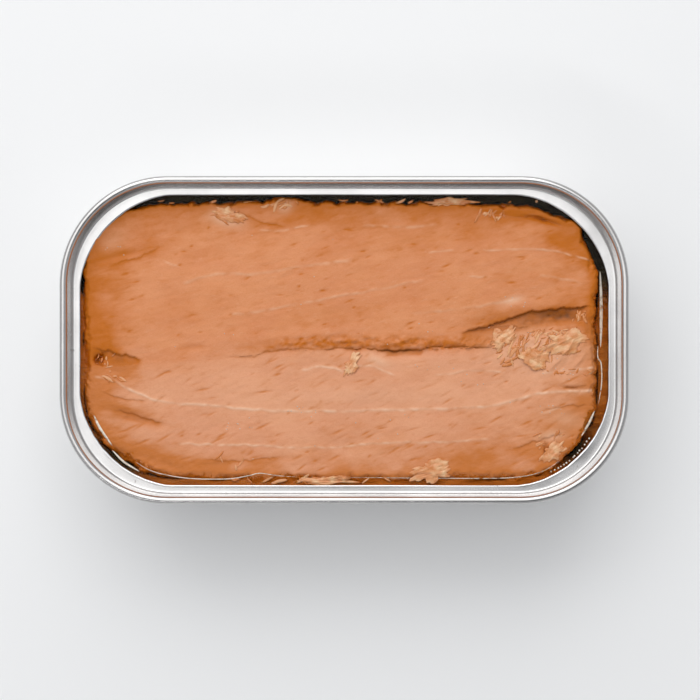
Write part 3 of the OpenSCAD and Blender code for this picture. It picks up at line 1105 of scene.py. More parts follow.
@dataclass
class Fish:
    """The relief that the two loins share, and what shows on it."""

    plan: Plan
    shift: float = -0.6
    edge: float = 15.2
    crest: float = 24.2
    oil_level: float = 23.5
    lower_turn: float = 26.0
    upper_turn: float = 13.0

    def __post_init__(self) -> None:
        """Draws the fibres' short splits from a fixed seed."""
        rng = np.random.default_rng(8)
        self.splits = []
        for low, high, count, turn, size in ((0.0, 24.0, 150, self.upper_turn, 0.6),
                                             (-24.5, -2.5, 260, self.lower_turn, 1.0)):
            for _ in range(count):
                spot = (rng.uniform(-45, 45), rng.uniform(low, high))
                self.splits.append(Blob(*spot, rng.uniform(0.35, 1.5) * size, rng.uniform(0.12, 0.20),
                                        turn + rng.normal(0, 7), rng.uniform(0.3, 1.0) ** 2))

    def torn(self, x: np.ndarray, y: np.ndarray) -> np.ndarray:
        """How much a place lies in one of the fibres' short splits.

        Args:
            x: Places along.
            y: Places across.

        Returns:
            The shares.
        """
        total = np.zeros(x.shape)
        for split in self.splits:
            near = (np.abs(x - split.x) < split.long * 2.2) & (np.abs(y - split.y) < split.long * 2.2)
            if near.any():
                total[near] += split.at(x[near], y[near])
        return np.minimum(total, 1.0)

    def part(self, x: np.ndarray) -> np.ndarray:
        """Line along which the loins part."""
        return through(x, PART)

    def inset(self, x: np.ndarray, y: np.ndarray) -> np.ndarray:
        """Distance in from the edge of the fish, which bulges here and there."""
        bulge = sum(spot.at(x, y) for spot in BULGES)
        return self.edge + bulge - self.plan.reach(x - self.shift, y)

    def beyond(self, x: np.ndarray, y: np.ndarray) -> np.ndarray:
        """Distance behind the crack, which wanders about the line where the loins part."""
        return y - self.part(x) - 0.32 * noise(x / 2.8, x * 0, 17, 2) - 0.10 * noise(x / 0.8, x * 0, 18, 2)

    def lower(self, x: np.ndarray, y: np.ndarray) -> np.ndarray:
        """Share of the front loin at a place."""
        return 1 - smooth(-0.6, 0.6, y - self.part(x))

    def crack(self, x: np.ndarray, y: np.ndarray) -> np.ndarray:
        """Depth of the crack: a steep lip behind it and a gentle slope before it.

        Args:
            x: Places along.
            y: Places across.

        Returns:
            Depths in millimetres.
        """
        off = self.beyond(x, y)
        wide = span(x, (-24.5, -18.0), (23.5, 27.0))
        patchy = 0.6 + 0.4 * noise(x / 2.6, x * 0, 11, 3)
        deep = wide * (0.35 + 0.65 * smooth(-3.0, 6.0, x)) * patchy
        lip = np.exp(-np.maximum(off, 0) / (0.24 + 0.14 * noise(x / 0.7, y / 2, 12)))
        slope = np.exp(-(np.minimum(off, 0) / 1.1) ** 2)
        return 0.95 * deep * np.where(off > 0, lip, slope)

    def fringe(self, x: np.ndarray, y: np.ndarray) -> np.ndarray:
        """Share of the torn, lumpy band behind the crack."""
        off = y - self.part(x) - 0.9 - 0.5 * noise(x / 4, y / 9, 13, 2)
        return span(x, (-16, -8), (26, 33)) * np.exp(-(off / 1.15) ** 2)

    def grain(self, x: np.ndarray, y: np.ndarray) -> np.ndarray:
        """Fibres' relief, which runs flatter on the back loin than on the front one.

        Args:
            x: Places along.
            y: Places across.

        Returns:
            Heights in millimetres.
        """
        low = self.lower(x, y)
        bend = noise(x / 22, y / 14, 21) * 6
        result = np.zeros(x.shape)
        for turn, share in ((self.upper_turn, 1 - low), (self.lower_turn, low)):
            a, b = turned(x, y, turn)
            b = b + bend * 0.12 * (share > 0)
            coarse = 1 - np.abs(noise(a / 5.5, b / 1.5, 22, 2))
            fine = noise(a / 1.6, b / 0.55, 23, 2)
            result += share * (0.045 * coarse + 0.020 * fine)
        result += 0.10 * noise(x / 6, y / 4, 24, 2) + 0.022 * noise(x / 0.8, y / 0.6, 25, 2)
        return result - 0.08

    def cluster(self, x: np.ndarray, y: np.ndarray) -> np.ndarray:
        """Share of the loose, flaky right end."""
        return np.clip(Blob(36.5, -1.6, 9.5, 4.2, -6, 1.3).at(x, y), 0, 1)

    def top(self, x: np.ndarray, y: np.ndarray) -> np.ndarray:
        """Height of the fish.

        Args:
            x: Places along.
            y: Places across.

        Returns:
            Heights in millimetres.
        """
        inset = self.inset(x, y)
        z = self.crest + self.grain(x, y)
        for line in SEPTA:
            z += 0.55 * line.height * line.share(x, y) + 0.06 * line.above(x, y, 1.6)
        for spot in (*HOLLOWS, *SWELLS):
            z += spot.at(x, y)
        for fold in FOLDS:
            z -= fold.depth * fold.share(x, y, fold.reach)
        z -= 0.13 * self.torn(x, y)
        lumps = 1 - 2 * np.abs(noise(*(q / s for q, s in zip(turned(x, y, 48), (3.0, 1.5))), 41, 2))
        z += self.cluster(x, y) * 0.20 * lumps
        crumbly = noise(x / 1.0, y / 0.7, 44, 3)
        z += self.fringe(x, y) * (0.12 + 0.30 * crumbly)
        ragged = noise(x / 1.3, y / 1.3, 42, 4) * 0.40
        back = smooth(12, 20, y)
        fall = 1 - smooth(0.0, 1.5 - 0.5 * back, inset + ragged)
        z -= (0.60 + 0.5 * back) * fall ** 2
        z -= self.crack(x, y)
        shelf = self.oil_level - 0.12 - 0.35 * np.abs(noise(x / 4, y / 1.5, 43, 2)) - self.sunk(x, y)
        z = z + (shelf - z) * (1 - smooth(-0.45, 0.1, inset + ragged))
        under_ledge = self.crest + 0.6 - 0.95 * smooth(self.edge + 0.6, self.edge + 1.5, self.plan.reach(x, y))
        return np.minimum(z, under_ledge)

    def sunk(self, x: np.ndarray, y: np.ndarray) -> np.ndarray:
        """How far the part outside the fish's edge lies below its front shelf.

        Args:
            x: Places along.
            y: Places across.

        Returns:
            Depths in millimetres.
        """
        back = smooth(5, 12, y) * smooth(-50, -44, x) + smooth(7, 13, y) * smooth(-44, -50, x)
        strip = smooth(-21, -24, y) * span(x, (-30, -24), (37, 41))
        corner = Blob(-42.0, -21.0, 7.0, 5.0, -40, 1.0).at(x, y) + Blob(43.5, -19.5, 5.0, 4.0, 45, 2.2).at(x, y)
        side = 0.55 + corner + 0.7 * smooth(44, 47, x) - 0.4 * smooth(-44, -46, x) * smooth(-12, -8, y)
        return 3.2 * back + (1 - back) * side * (1 - 0.75 * strip)

    def wet(self, x: np.ndarray, y: np.ndarray, z: np.ndarray) -> np.ndarray:
        """How stained and steeped in oil a place is, with painted shade in its folds and crack.

        Args:
            x: Places along.
            y: Places across.
            z: Heights.

        Returns:
            The shares.
        """
        inset = self.inset(x, y)
        side = 2.7 + 1.8 * noise(x / 5, y / 4, 51, 3) + 1.6 * smooth(-38, -44, x) - 0.5 * smooth(-10, -18, y)
        wet = 1.1 * np.exp(-np.maximum(inset - 0.6, 0) / np.maximum(side, 0.5)) + 1.2 * self.torn(x, y)
        off = y - self.part(x)
        wide = span(x, (-22, -8), (28, 33))
        crumbs = 0.75 + 0.5 * noise(x / 0.9, y / 0.7, 55, 3)
        # The part that follows the crack's depth is painted shade.
        wet += wide * crumbs * np.exp(-((off - 1.15) / 1.2) ** 2) + 0.12 * self.crack(x, y)
        for spot in STAINS:
            wet += spot.at(x, y)
        # Painted shade: the folds are stained darker, as their recesses would be shaded.
        for fold in FOLDS:
            wet += min(1.0, 2.2 * fold.depth) * fold.share(x, y, fold.reach * 1.2)
        wet += 0.9 * smooth(self.oil_level + 0.35, self.oil_level - 0.05, z)
        shallow = smooth(0.3, -0.4, inset) * smooth(0.9, 0.1, self.sunk(x, y))
        wet -= 0.9 * shallow * smooth(-0.5, 0.3, noise(x / 4, y / 3, 56, 2))
        return np.clip(wet + 0.10 * noise(x / 3, y / 2, 52, 3), 0, 1)

    def pale(self, x: np.ndarray, y: np.ndarray) -> np.ndarray:
        """How much pale sinew or flaked flesh shows.

        Args:
            x: Places along.
            y: Places across.

        Returns:
            The shares.
        """
        pale = 0.10 * self.lower(x, y)
        for line in SEPTA:
            pale += line.paleness * line.share(x, y)
        for spot in PALES:
            pale += spot.at(x, y)
        return np.clip(pale, 0, 1)

    def dark(self, x: np.ndarray, y: np.ndarray, z: np.ndarray) -> np.ndarray:
        """How much painted shade a place gets: near black along the crack, in folds and pits, in the gap round the
        fish's edge, and below the oil's level at the back and in the front corners.

        Args:
            x: Places along.
            y: Places across.
            z: Heights.

        Returns:
            The shares.
        """
        off = self.beyond(x, y)
        open_x = span(x, (-24.5, -17), (24, 28)) * (0.35 + 0.65 * smooth(-4, 6, x))
        thick = 0.16 + 0.10 * noise(x / 3, x * 0, 15, 2)
        dark = 0.85 * open_x * np.exp(-(off / thick) ** 2) * (0.75 + 0.25 * noise(x / 1.3, x * 0, 16, 2))
        for fold in FOLDS:
            dark += 0.75 * fold.depth * fold.share(x, y, 0.25 + 0.25 * fold.reach)
        for spot in SHADE_SPOTS:
            dark += spot.at(x, y) * (0.8 + 0.4 * noise(x / 1.2, y / 0.8, 54, 3))
        # Below the oil's level the painted shade is strongest at the back and in the front corners.
        behind = 0.18 + 0.82 * smooth(4, 12, y)
        behind = np.minimum(behind + sum(spot.at(x, y) for spot in SHADED_CORNERS), 1)
        # Painted shade in the gap round the fish's edge, except along the front.
        gap = np.exp(-((self.inset(x, y) + 0.42) / 0.24) ** 2) * smooth(-0.3, 0.3, noise(x / 2.6, y / 2.6, 19, 2))
        dark += 0.9 * gap * (1 - smooth(-21, -24, y) * span(x, (-22, -18), (22, 25)))
        dark += behind * smooth(self.oil_level - 0.5, self.oil_level - 1.6, z)
        return np.clip(dark, 0, 1)

    def points(self, x: np.ndarray, y: np.ndarray, z: np.ndarray) -> dict[str, np.ndarray]:
        """Numbers that the finish reads, by name.

        Args:
            x: Places along.
            y: Places across.
            z: Heights.

        Returns:
            The numbers.
        """
        front = smooth(4.5, -4.5, y - self.part(x) + 2.5 * noise(x / 8, y / 5, 53, 2))
        dark = self.dark(x, y, z)
        # Painted shade also deepens the stain and hides the pale marks.
        return {"wet": np.clip(self.wet(x, y, z) + 2 * dark, 0, 1), "pale": self.pale(x, y) * (1 - dark),
                "dark": dark ** 1.3, "front": front}


@dataclass
class Loin:
    """One loin: a fine relief with its flanks down to the base."""

    fish: Fish
    side: int
    node: str
    columns: int = 540
    rows: int = 136
    reach_out: float = 2.4
    crack_gap: float = 0.18
    lip_drop: float = 0.03
    least_fall: float = 0.3
    levels: tuple[tuple[float, float], ...] = ((0.3, 22.4), (0.5, 20.5), (0.6, 17.0), (0.5, 9.0), (0.2, 4.0),
                                               (-0.4, 1.7))

    def build(self, material: bpy.types.Material) -> bpy.types.Object:
        """Builds the loin.

        Args:
            material: Its finish.

        Returns:
            The piece.
        """
        fish, plan = self.fish, self.fish.plan
        bm = bmesh.new()
        bmesh.ops.create_grid(bm, x_segments=self.columns, y_segments=self.rows, size=1)
        for _ in self.levels:
            grow(bm, [e for e in bm.edges if e.is_boundary], (0, 0, -1))
        bmesh.ops.holes_fill(bm, edges=[e for e in bm.edges if e.is_boundary], sides=0)
        spots = places(bm)
        u, v, level = spots[:, 0], (spots[:, 1] + 1) / 2, np.round(-spots[:, 2]).astype(int)
        radius = fish.edge + self.reach_out
        bow = math.pi / 2 * radius
        share = bow / (2 * bow + 2 * plan.half_x)
        s = (u + 1) / 2
        left, right = s < share, s > 1 - share
        x = np.where(left, -plan.half_x - radius * np.cos(np.minimum(s / share, 1) * math.pi / 2),
                     np.where(right, plan.half_x + radius * np.cos(np.minimum((1 - s) / share, 1) * math.pi / 2),
                              plan.half_x * ((s - share) / (1 - 2 * share) * 2 - 1)))
        over = np.maximum(np.abs(x) - plan.half_x, 0)
        half = plan.half_y + np.sqrt(np.maximum(radius ** 2 - over ** 2, 0))
        x = x + fish.shift
        part = fish.part(x)
        y = part + (self.side * half - part) * v
        z = fish.top(x, y)
        inner = (spots[:, 1] < -1 + 1e-6) & (np.abs(u) < 1 - 1e-6)
        below = level > 0
        dx, dy = plan.offset(x - fish.shift, y)
        reach = np.maximum(np.hypot(dx, dy), 1e-6)
        swell = np.array([0.0] + [w for w, _ in self.levels])[level]
        drop = np.array([0.0] + [h for _, h in self.levels])[level]
        outer = below & ~inner
        x = np.where(outer, x + dx / reach * swell, x)
        y = np.where(outer, y + dy / reach * swell, y)
        y = np.where(below & inner, y - self.side * self.crack_gap, y)
        first = below & inner & (level == 1)
        z = np.where(below, np.minimum(drop, z - self.least_fall), z)
        z = np.where(first, fish.top(x, part) - self.lip_drop, z)
        settle(bm, x, y, z)
        bmesh.ops.recalc_face_normals(bm, faces=bm.faces)
        piece = hand_over(bm, self.node + "_flesh", material, fish.points(x, y, z))
        return enter(piece, self.node)


def loose_points(wet: np.ndarray, pale: np.ndarray) -> dict[str, np.ndarray]:
    """Numbers that the finish reads on loose flesh, which gets no painted shade and is never on the front loin."""
    return {"wet": wet, "pale": pale, "dark": np.zeros(len(wet)), "front": np.zeros(len(wet))}


@dataclass
class Flake:
    """A loose leaf of flesh with a ragged edge and a slight curl."""

    node: str
    x: float
    y: float
    long: float
    wide: float
    turn: float
    lift: float
    curl: float = 0.35
    seed: int = 1
    thickness: float = 0.1
    columns: int = 64
    rows: int = 32

    def build(self, fish: Fish, material: bpy.types.Material) -> bpy.types.Object:
        """Builds the flake on what carries it.

        Args:
            fish: The relief below.
            material: Its finish.

        Returns:
            The piece.
        """
        bm = bmesh.new()
        bmesh.ops.create_grid(bm, x_segments=self.columns, y_segments=self.rows, size=1)
        spots = places(bm)
        a, b = spots[:, 0], spots[:, 1]
        disc_a, disc_b = a * np.sqrt(1 - b * b / 2), b * np.sqrt(1 - a * a / 2)
        out = np.hypot(disc_a, disc_b)
        angle = np.arctan2(disc_b, disc_a)
        rag = 1 + 0.40 * noise(np.cos(angle) * 2.4, np.sin(angle) * 2.4 + self.seed, 61, 4) * out ** 2
        along, across = disc_a * rag * self.long / 2, disc_b * rag * self.wide / 2
        across += 0.18 * self.wide * noise(along / self.long * 3, along * 0 + self.seed, 62)
        x, y = turned(along, across, -self.turn)
        x, y = x + self.x, y + self.y
        ground = np.maximum(fish.top(x, y), fish.oil_level - 0.1)
        base = np.maximum(ground, np.mean(ground) - 0.1)
        ridges = 1 - np.abs(noise(along / 2.2, across / 0.42 + self.seed, 63, 2))
        side = 1 if self.seed % 2 else -1
        curl = self.curl * smooth(0.2, 1.0, disc_b * side) * (0.6 + 0.4 * noise(along, across, 64))
        dome = 0.75 * self.lift * (1 - out ** 3) * (0.75 + 0.25 * noise(along / 1.2, across / 0.8, 65))
        z = base + 0.03 + dome + curl
        z += 0.13 * ridges * (1 - out ** 6) - 0.05
        settle(bm, x, y, z)
        lower = [*bm.faces, *bm.edges, *bm.verts]
        upper = bmesh.ops.extrude_face_region(bm, geom=lower, use_keep_orig=True)["geom"]
        bmesh.ops.translate(bm, verts=only(upper, POINT), vec=(0, 0, self.thickness))
        bmesh.ops.recalc_face_normals(bm, faces=bm.faces)
        spots = places(bm)
        x, y, z = spots.T
        edge = smooth(0.25, 0.0, z - np.maximum(fish.top(x, y), fish.oil_level))
        wet = np.clip(0.12 + 0.45 * edge + 0.3 * noise(x / 0.9, y / 0.7, 67, 2), 0, 1)
        pale = np.clip(0.22 + 0.55 * noise(x / 1.1, y / 0.8, 66, 3) - 0.3 * edge, 0, 1)
        piece = hand_over(bm, self.node + "_leaf", material, loose_points(wet, pale))
        return enter(piece, self.node)


@dataclass
class Shreds:
    """Small strands and crumbs of flesh that lie on the fish and along its edges."""

    fish: Fish
    areas: tuple[tuple[float, float, float, float, float, int, float], ...] = (
        (36.5, -0.8, 7.5, 2.6, 40, 60, 0.8), (31.0, -2.2, 2.4, 2.6, 62, 12, 1.6), (40.0, 1.2, 4.0, 1.0, 10, 26, 0.6),
        (-44.6, -3.6, 1.8, 2.2, 60, 8, 0.6), (44.0, 4.6, 1.3, 0.9, 70, 12, 0.7), (28.0, 23.4, 4.0, 0.9, 70, 12, 0.8),
        (-12.0, 25.2, 3.0, 0.6, 30, 12, 0.9), (-22.0, 23.0, 2.4, 1.0, 20, 8, 0.7), (-8.0, -26.2, 16.0, 0.5, 4, 14, 1.2),
        (39.0, -18.5, 3.5, 3.0, 40, 12, 0.7), (0.0, 26.0, 36.0, 0.3, 6, 20, 0.7), (-21.0, -23.2, 3.0, 1.6, 80, 4, 1.2),
        (-44.0, -7.2, 2.6, 0.5, -22, 10, 0.9), (41.0, -6.0, 5.0, 0.6, 4, 12, 0.6),
    )
    lift: float = 0.02
    rumple: float = 0.05

    def build(self, material: bpy.types.Material) -> bpy.types.Object:
        """Builds every shred as one piece.

        Args:
            material: Their finish.

        Returns:
            The piece.
        """
        rng = np.random.default_rng(21)
        bm = bmesh.new()
        for x, y, wide, deep, turn, count, size in self.areas:
            area = bmesh.new()
            tones = area.verts.layers.float.new("tone")
            for _ in range(count):
                grown = bmesh.ops.create_icosphere(area, subdivisions=2, radius=1)["verts"]
                ball = np.array([v.co[:] for v in grown])
                middle = np.array((x + wide * np.clip(rng.normal(0, 0.55), -1, 1),
                                   y + deep * np.clip(rng.normal(0, 0.55), -1, 1)))
                long, across = rng.uniform(0.35, 1.5) * size, rng.uniform(0.14, 0.34) * size ** 0.5
                a, b = ball[:, 0] * long, ball[:, 1] * across
                b = b + 0.3 * rng.normal() * (a / long) ** 2 * long * 0.5
                a = a * (1 + 0.15 * noise(a * 3, b * 3, int(rng.integers(99))))
                px, py = turned(a, b, -(turn + rng.normal(0, 28)))
                high, tone = rng.uniform(0.08, 0.15), rng.uniform(0, 1)
                for vert, vx, vy, vz in zip(grown, px, py, ball[:, 2]):
                    vert.co = (vx + middle[0], vy + middle[1], vz * high)
                    vert[tones] = tone
            gather(bm, area)
        tones = bm.verts.layers.float["tone"]
        spots, tone = places(bm), np.array([v[tones] for v in bm.verts])
        x, y = spots[:, 0], spots[:, 1]
        base = np.maximum(self.fish.top(x, y), self.fish.oil_level - 0.05)
        z = base + spots[:, 2] + self.lift + self.rumple * noise(x / 0.4, y / 0.4, 81, 2)
        settle(bm, x, y, z)
        wet, pale = np.clip(0.8 - tone, 0.05, 0.7), np.clip(1.2 * (tone - 0.6), 0, 0.4)
        piece = hand_over(bm, "shreds", material, loose_points(wet, pale))
        return enter(piece)


@dataclass
class Drops:
    """Droplets of oil on the fish and the row of bubbles at the front right corner, finished with a painted highlight.
    """

    fish: Fish
    drops: tuple[tuple[float, float, float, int], ...] = (
        (-8.0, -13.5, 3.0, 9), (-20.0, -16.0, 3.0, 8), (39.0, -13.2, 2.6, 8), (41.0, -5.8, 4.5, 10),
        (36.0, -1.0, 7.0, 22), (-43.0, 16.7, 2.0, 5), (8.0, -16.0, 8.0, 6), (18.0, -6.4, 6.0, 6), (-22.0, 23.0, 2.0, 5),
        (0.0, 8.0, 34.0, 8), (0.0, -10.0, 34.0, 12), (31.5, 7.2, 2.4, 6),
    )
    bubbles: int = 15
    bubbles_from: float = -66.0
    bubbles_turn: float = 34.0
    bubbles_reach: float = 15.62

    def build(self, material: bpy.types.Material) -> bpy.types.Object:
        """Builds the droplets and bubbles as one piece.

        Args:
            material: Their finish.

        Returns:
            The piece.
        """
        rng = np.random.default_rng(4)
        bm = bmesh.new()
        plan = self.fish.plan
        spots = []
        for x, y, spread, count in self.drops:
            for _ in range(count):
                spots.append((x + spread * rng.uniform(-1, 1), y + spread * 0.4 * rng.uniform(-1, 1),
                              rng.uniform(0.07, 0.13), 0.6))
        for k in range(self.bubbles):
            share = (k + 0.3 * rng.uniform(-1, 1)) / (self.bubbles - 1)
            angle = math.radians(self.bubbles_from + self.bubbles_turn * share)
            reach = self.bubbles_reach + 0.10 * rng.uniform(-1, 1)
            spots.append((plan.half_x + reach * math.cos(angle), -plan.half_y + reach * math.sin(angle),
                          rng.uniform(0.14, 0.19), 1.6))
        places_xy = np.array([s[:2] for s in spots])
        ground = np.maximum(self.fish.top(places_xy[:, 0], places_xy[:, 1]), self.fish.oil_level)
        strong = []
        for (x, y, radius, share), z in zip(spots, ground):
            drop = bmesh.new()
            grown = bmesh.ops.create_icosphere(drop, subdivisions=2, radius=radius)["verts"]
            bmesh.ops.scale(drop, verts=grown, vec=(1, 1, 0.6))
            bmesh.ops.translate(drop, verts=grown, vec=(x, y, z + radius * 0.3))
            strong.append(np.full(len(grown), share))
            gather(bm, drop)
        piece = hand_over(bm, "drops", material, {"strong": np.concatenate(strong)})
        return enter(piece)


FLAKES = (
    Flake("flake_right_outer", 41.5, -0.8, 8.0, 4.4, 24, 0.35, 0.4, 1),
    Flake("flake_right_middle", 35.3, -3.3, 5.8, 3.6, -28, 0.3, 0.35, 2),
    Flake("flake_right_inner", 29.6, 0.2, 6.0, 3.0, 38, 0.3, 0.3, 3),
    Flake("flake_middle", 1.4, -4.8, 5.0, 2.2, 62, 0.2, 0.25, 4),
    Flake("flake_back_tuft", -21.9, 23.4, 5.8, 2.6, -18, 0.25, 0.35, 5),
    Flake("flake_back_edge", 19.6, 25.9, 8.6, 1.4, 2, 0.2, 0.1, 6),
    Flake("flake_front_long", -3.6, -26.4, 10.5, 1.7, 0, 0.42, 0.05, 7),
    Flake("flake_front_leaf", 16.2, -24.6, 8.0, 3.6, 16, 0.2, 0.1, 8),
    Flake("flake_corner", 39.1, -21.1, 5.0, 2.8, 40, 0.3, 0.3, 9),
)


@dataclass
class OilPool:
    """The oil's surface round the fish, clinging to it, and the body of oil below."""

    fish: Fish
    inner: float = 12.6
    outer: float = 18.88
    bottom: float = 2.5
    rings: int = 34
    cling: float = 0.34
    cling_reach: float = 0.22
    ripple: float = 0.012
    turn_steps: int = 40
    run_steps: int = 150

    def build(self, material: bpy.types.Material) -> bpy.types.Object:
        """Builds the oil.

        Args:
            material: Its finish.

        Returns:
            The piece.
        """
        fish, plan = self.fish, self.fish.plan
        bm = bmesh.new()
        start = Vector((plan.half_x + self.inner, plan.half_y, fish.oil_level))
        geom = [bm.verts.new(start)]
        moves = [((self.outer - self.inner) / self.rings, 0, 0)] * self.rings
        moves += [(0, 0, self.bottom - fish.oil_level), (self.inner - self.outer, 0, 0)]
        for move in moves:
            geom.append(bmesh.ops.extrude_vert_indiv(bm, verts=[geom[-1]])["verts"][0])
            bmesh.ops.translate(bm, verts=[geom[-1]], vec=move)
        bm.edges.new((geom[-1], geom[0]))
        plan.sweep(bm, [*bm.edges, *bm.verts], self.turn_steps, self.run_steps)
        bmesh.ops.remove_doubles(bm, verts=bm.verts, dist=MERGED)
        bmesh.ops.recalc_face_normals(bm, faces=bm.faces)
        spots = places(bm)
        x, y, z = spots.T
        flesh = fish.top(x, y)
        rise = self.cling * np.exp(-np.maximum(fish.oil_level + self.cling - flesh, 0) / self.cling_reach)
        upper = z > fish.oil_level - 0.01
        lift = np.where(upper, np.minimum(rise, self.cling), 0)
        lift += np.where(upper, self.ripple * noise(x / 6, y / 6, 71), 0)
        for vert, dz in zip(bm.verts, lift):
            vert.co.z += dz
        piece = hand_over(bm, "oil_pool", material)
        return enter(piece, "oil")


@dataclass
class MeniscusHighlights:
    """Thin beads with a painted highlight, laid where the oil's skin bends up to the fish and the can."""

    fish: Fish
    lines: tuple[tuple[tuple[tuple[float, float], ...], float, float], ...] = (
        (((-46.9, -14.0), (-45.6, -16.6), (-43.4, -19.8)), 0.26, 1.0),
        (((-43.5, -20.6), (-41.3, -22.8), (-38.4, -24.6)), 0.20, 0.95),
        (((-39.4, -22.6), (-36.8, -24.2), (-34.0, -25.1), (-29.0, -25.9), (-22.0, -26.0), (-18.0, -25.4),
          (-15.8, -24.9), (-12.0, -25.4), (-8.3, -25.7)), 0.10, 0.75),
        (((-1.0, -25.7), (12.0, -25.8), (24.0, -25.9), (32.0, -25.7), (37.0, -24.6), (40.6, -22.4)), 0.10, 0.6),
        (((44.4, -18.0), (45.8, -15.6), (46.9, -13.2)), 0.22, 0.75),
        (((47.6, -12.0), (48.2, -8.0), (48.1, -4.4), (47.5, -3.2), (47.5, -1.0)), 0.12, 0.7),
        (((47.9, 13.0), (48.1, 8.0), (48.1, 3.0), (48.0, -1.4)), 0.30, 0.5),
        (((49.5, 10.0), (49.7, 4.0), (49.6, -3.0)), 0.10, 0.3),
    )
    lift: float = 0.05
    half_h: float = 0.06

    def build(self, material: bpy.types.Material) -> bpy.types.Object:
        """Builds the lines as one piece.

        Args:
            material: Their finish.

        Returns:
            The piece.
        """
        bm = bmesh.new()
        strong = []
        for points, width, strength in self.lines:
            bead = bmesh.new()
            bmesh.ops.create_uvsphere(bead, u_segments=8, v_segments=96, radius=1)
            ball = places(bead)
            along = (1 - np.arccos(np.clip(ball[:, 2], -1, 1)) / math.pi) * (len(points) - 1)
            ends = [tuple((i, p[k]) for i, p in enumerate(points)) for k in (0, 1)]
            x, y = (through(along, e) for e in ends)
            dx, dy = (through(along + 0.02, e) - through(along - 0.02, e) for e in ends)
            run = np.maximum(np.hypot(dx, dy), 1e-9)
            girth = np.sin(along / (len(points) - 1) * math.pi) ** -0.5
            across = ball[:, 0] * width * np.where(np.isfinite(girth), np.minimum(girth, 3), 1)
            x, y = x - dy / run * across, y + dx / run * across
            z = np.maximum(self.fish.top(x, y), self.fish.oil_level) + self.lift + ball[:, 1] * self.half_h
            settle(bead, x, y, z)
            strong.append(np.full(len(x), strength))
            gather(bm, bead)
        # The beads carry the painted highlight of the lamps' reflection in the oil's skin.
        piece = hand_over(bm, "meniscus_painted_highlights", material, {"strong": np.concatenate(strong)})
        return enter(piece)


# ------------------------------------------------------------------ studio


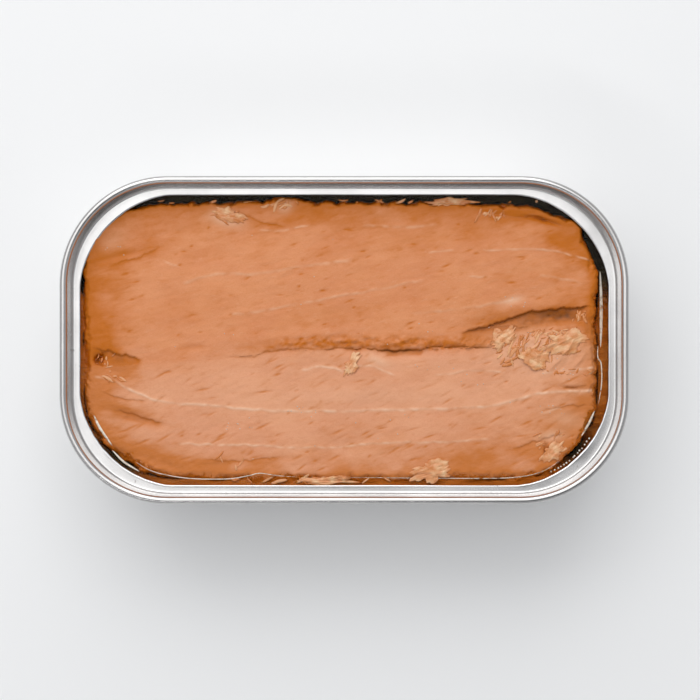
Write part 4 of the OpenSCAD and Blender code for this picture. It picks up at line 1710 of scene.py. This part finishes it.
@dataclass
class Studio:
    """Pale floor, soft lights and a camera straight over the can."""

    eye: tuple[float, float, float] = (1.06, -1.84, 329.0)
    aim: tuple[float, float, float] = (0.0, 0.0, 20.0)
    crown: float = 29.0
    view_width: float = 128.8
    sensor: float = 36.0
    sky: tuple[float, float, float] = (0.95, 0.97, 1.0)
    sky_strength: float = 0.49

    def build(self) -> None:
        """Sets up the floor, the lights, a near-black card that the metal reflects, the world and the camera."""
        self._sheet("floor", (1500, 1500), (0, 0, -0.3), 0.92)
        self._panel("key", (-120, 620, 620), (0.9, 0.6), 3.0)
        self._panel("ceiling", (-170, 300, 900), (1.2, 0.9), 3.7)
        self._panel("strip", (-180, -420, 560), (0.5, 0.03), 0.35)
        self._sheet("card", (520, 260), (60, -395, 880), 0.05)
        self._world()
        self._camera()

    def _sheet(self, name: str, half: tuple[float, float], place: tuple[float, float, float], tone: float) -> None:
        """Lays out a flat grey sheet that isn't part of the can.

        Args:
            name: Its name.
            half: Its half sizes.
            place: Its middle.
            tone: How light its grey is.
        """
        bm = bmesh.new()
        bmesh.ops.create_grid(bm, x_segments=1, y_segments=1, size=1)
        bmesh.ops.scale(bm, verts=bm.verts, vec=(*half, 1))
        bmesh.ops.translate(bm, verts=bm.verts, vec=place)
        hand_over(bm, name, Shader(name).finish(Base_Color=(tone,) * 3, Roughness=0.9))

    def _panel(self, name: str, place: tuple[float, float, float], size: tuple[float, float], power: float) -> None:
        """Hangs a soft light that faces the can.

        Args:
            name: Its name.
            place: Its middle in millimetres.
            size: Its length and width in metres.
            power: Its power in watts.
        """
        light = bpy.data.lights.new(name, "AREA")
        light.shape = "RECTANGLE"
        light.size, light.size_y = size
        light.energy = power
        lamp = bpy.data.objects.new(name, light)
        spot = Vector(place) * MM
        facing = (Vector(self.aim) * MM - spot).to_track_quat("-Z", "Y").to_matrix().to_4x4()
        lamp.matrix_world = Matrix.Translation(spot) @ facing
        bpy.context.scene.collection.objects.link(lamp)

    def _world(self) -> None:
        """Fills the room with soft light."""
        world = bpy.data.worlds.new("room")
        world.use_nodes = True
        shade = world.node_tree.nodes["Background"]
        shade.inputs["Color"].default_value = (*self.sky, 1.0)
        shade.inputs["Strength"].default_value = self.sky_strength
        bpy.context.scene.world = world
        bpy.context.scene.view_settings.view_transform = "Standard"

    def _camera(self) -> None:
        """Places the camera, looking straight down with the can's back upwards."""
        lens = bpy.data.cameras.new("camera")
        lens.sensor_width = self.sensor
        lens.lens = self.sensor * (self.eye[2] - self.crown) / self.view_width
        camera = bpy.data.objects.new("camera", lens)
        camera.location = Vector(self.eye) * MM
        bpy.context.scene.collection.objects.link(camera)
        bpy.context.scene.camera = camera


def main() -> None:
    """Builds every piece in order and reports it."""
    logging.basicConfig(level=logging.INFO, format="%(name)s: %(message)s")
    plan = Plan()
    tin, rim_tin = Tinplate("tinplate_body"), Tinplate("tinplate_rim", (0.71, 0.695, 0.685), 0.24)
    meat = Flesh("tuna", (0.695, 0.262, 0.114), (0.745, 0.302, 0.136)).material()
    leaf = Flesh("tuna_flake", (0.69, 0.280, 0.115), (0.74, 0.33, 0.14), pale=(0.84, 0.53, 0.29), grain_turn=30.0,
                 roughness=0.34, shine=0.45).material()
    can, fish = Can(plan), Fish(plan)
    built = [can.rim(rim_tin.material()), can.body(tin.material())]
    built += [Loin(fish, 1, "loin_back").build(meat), Loin(fish, -1, "loin_front").build(meat)]
    built += [flake.build(fish, leaf) for flake in FLAKES]
    amber = Oil().material()
    painted_glint = PaintedGlint().material()
    # Droplets, bubbles and meniscus beads all take the painted-highlight finish.
    built += [OilPool(fish).build(amber), Shreds(fish).build(leaf), Drops(fish).build(painted_glint),
              MeniscusHighlights(fish).build(painted_glint)]
    Studio().build()
    for piece in built:
        LOG.info("%s: %d faces", piece.name, len(piece.data.polygons))


if __name__ == "__main__":
    main()
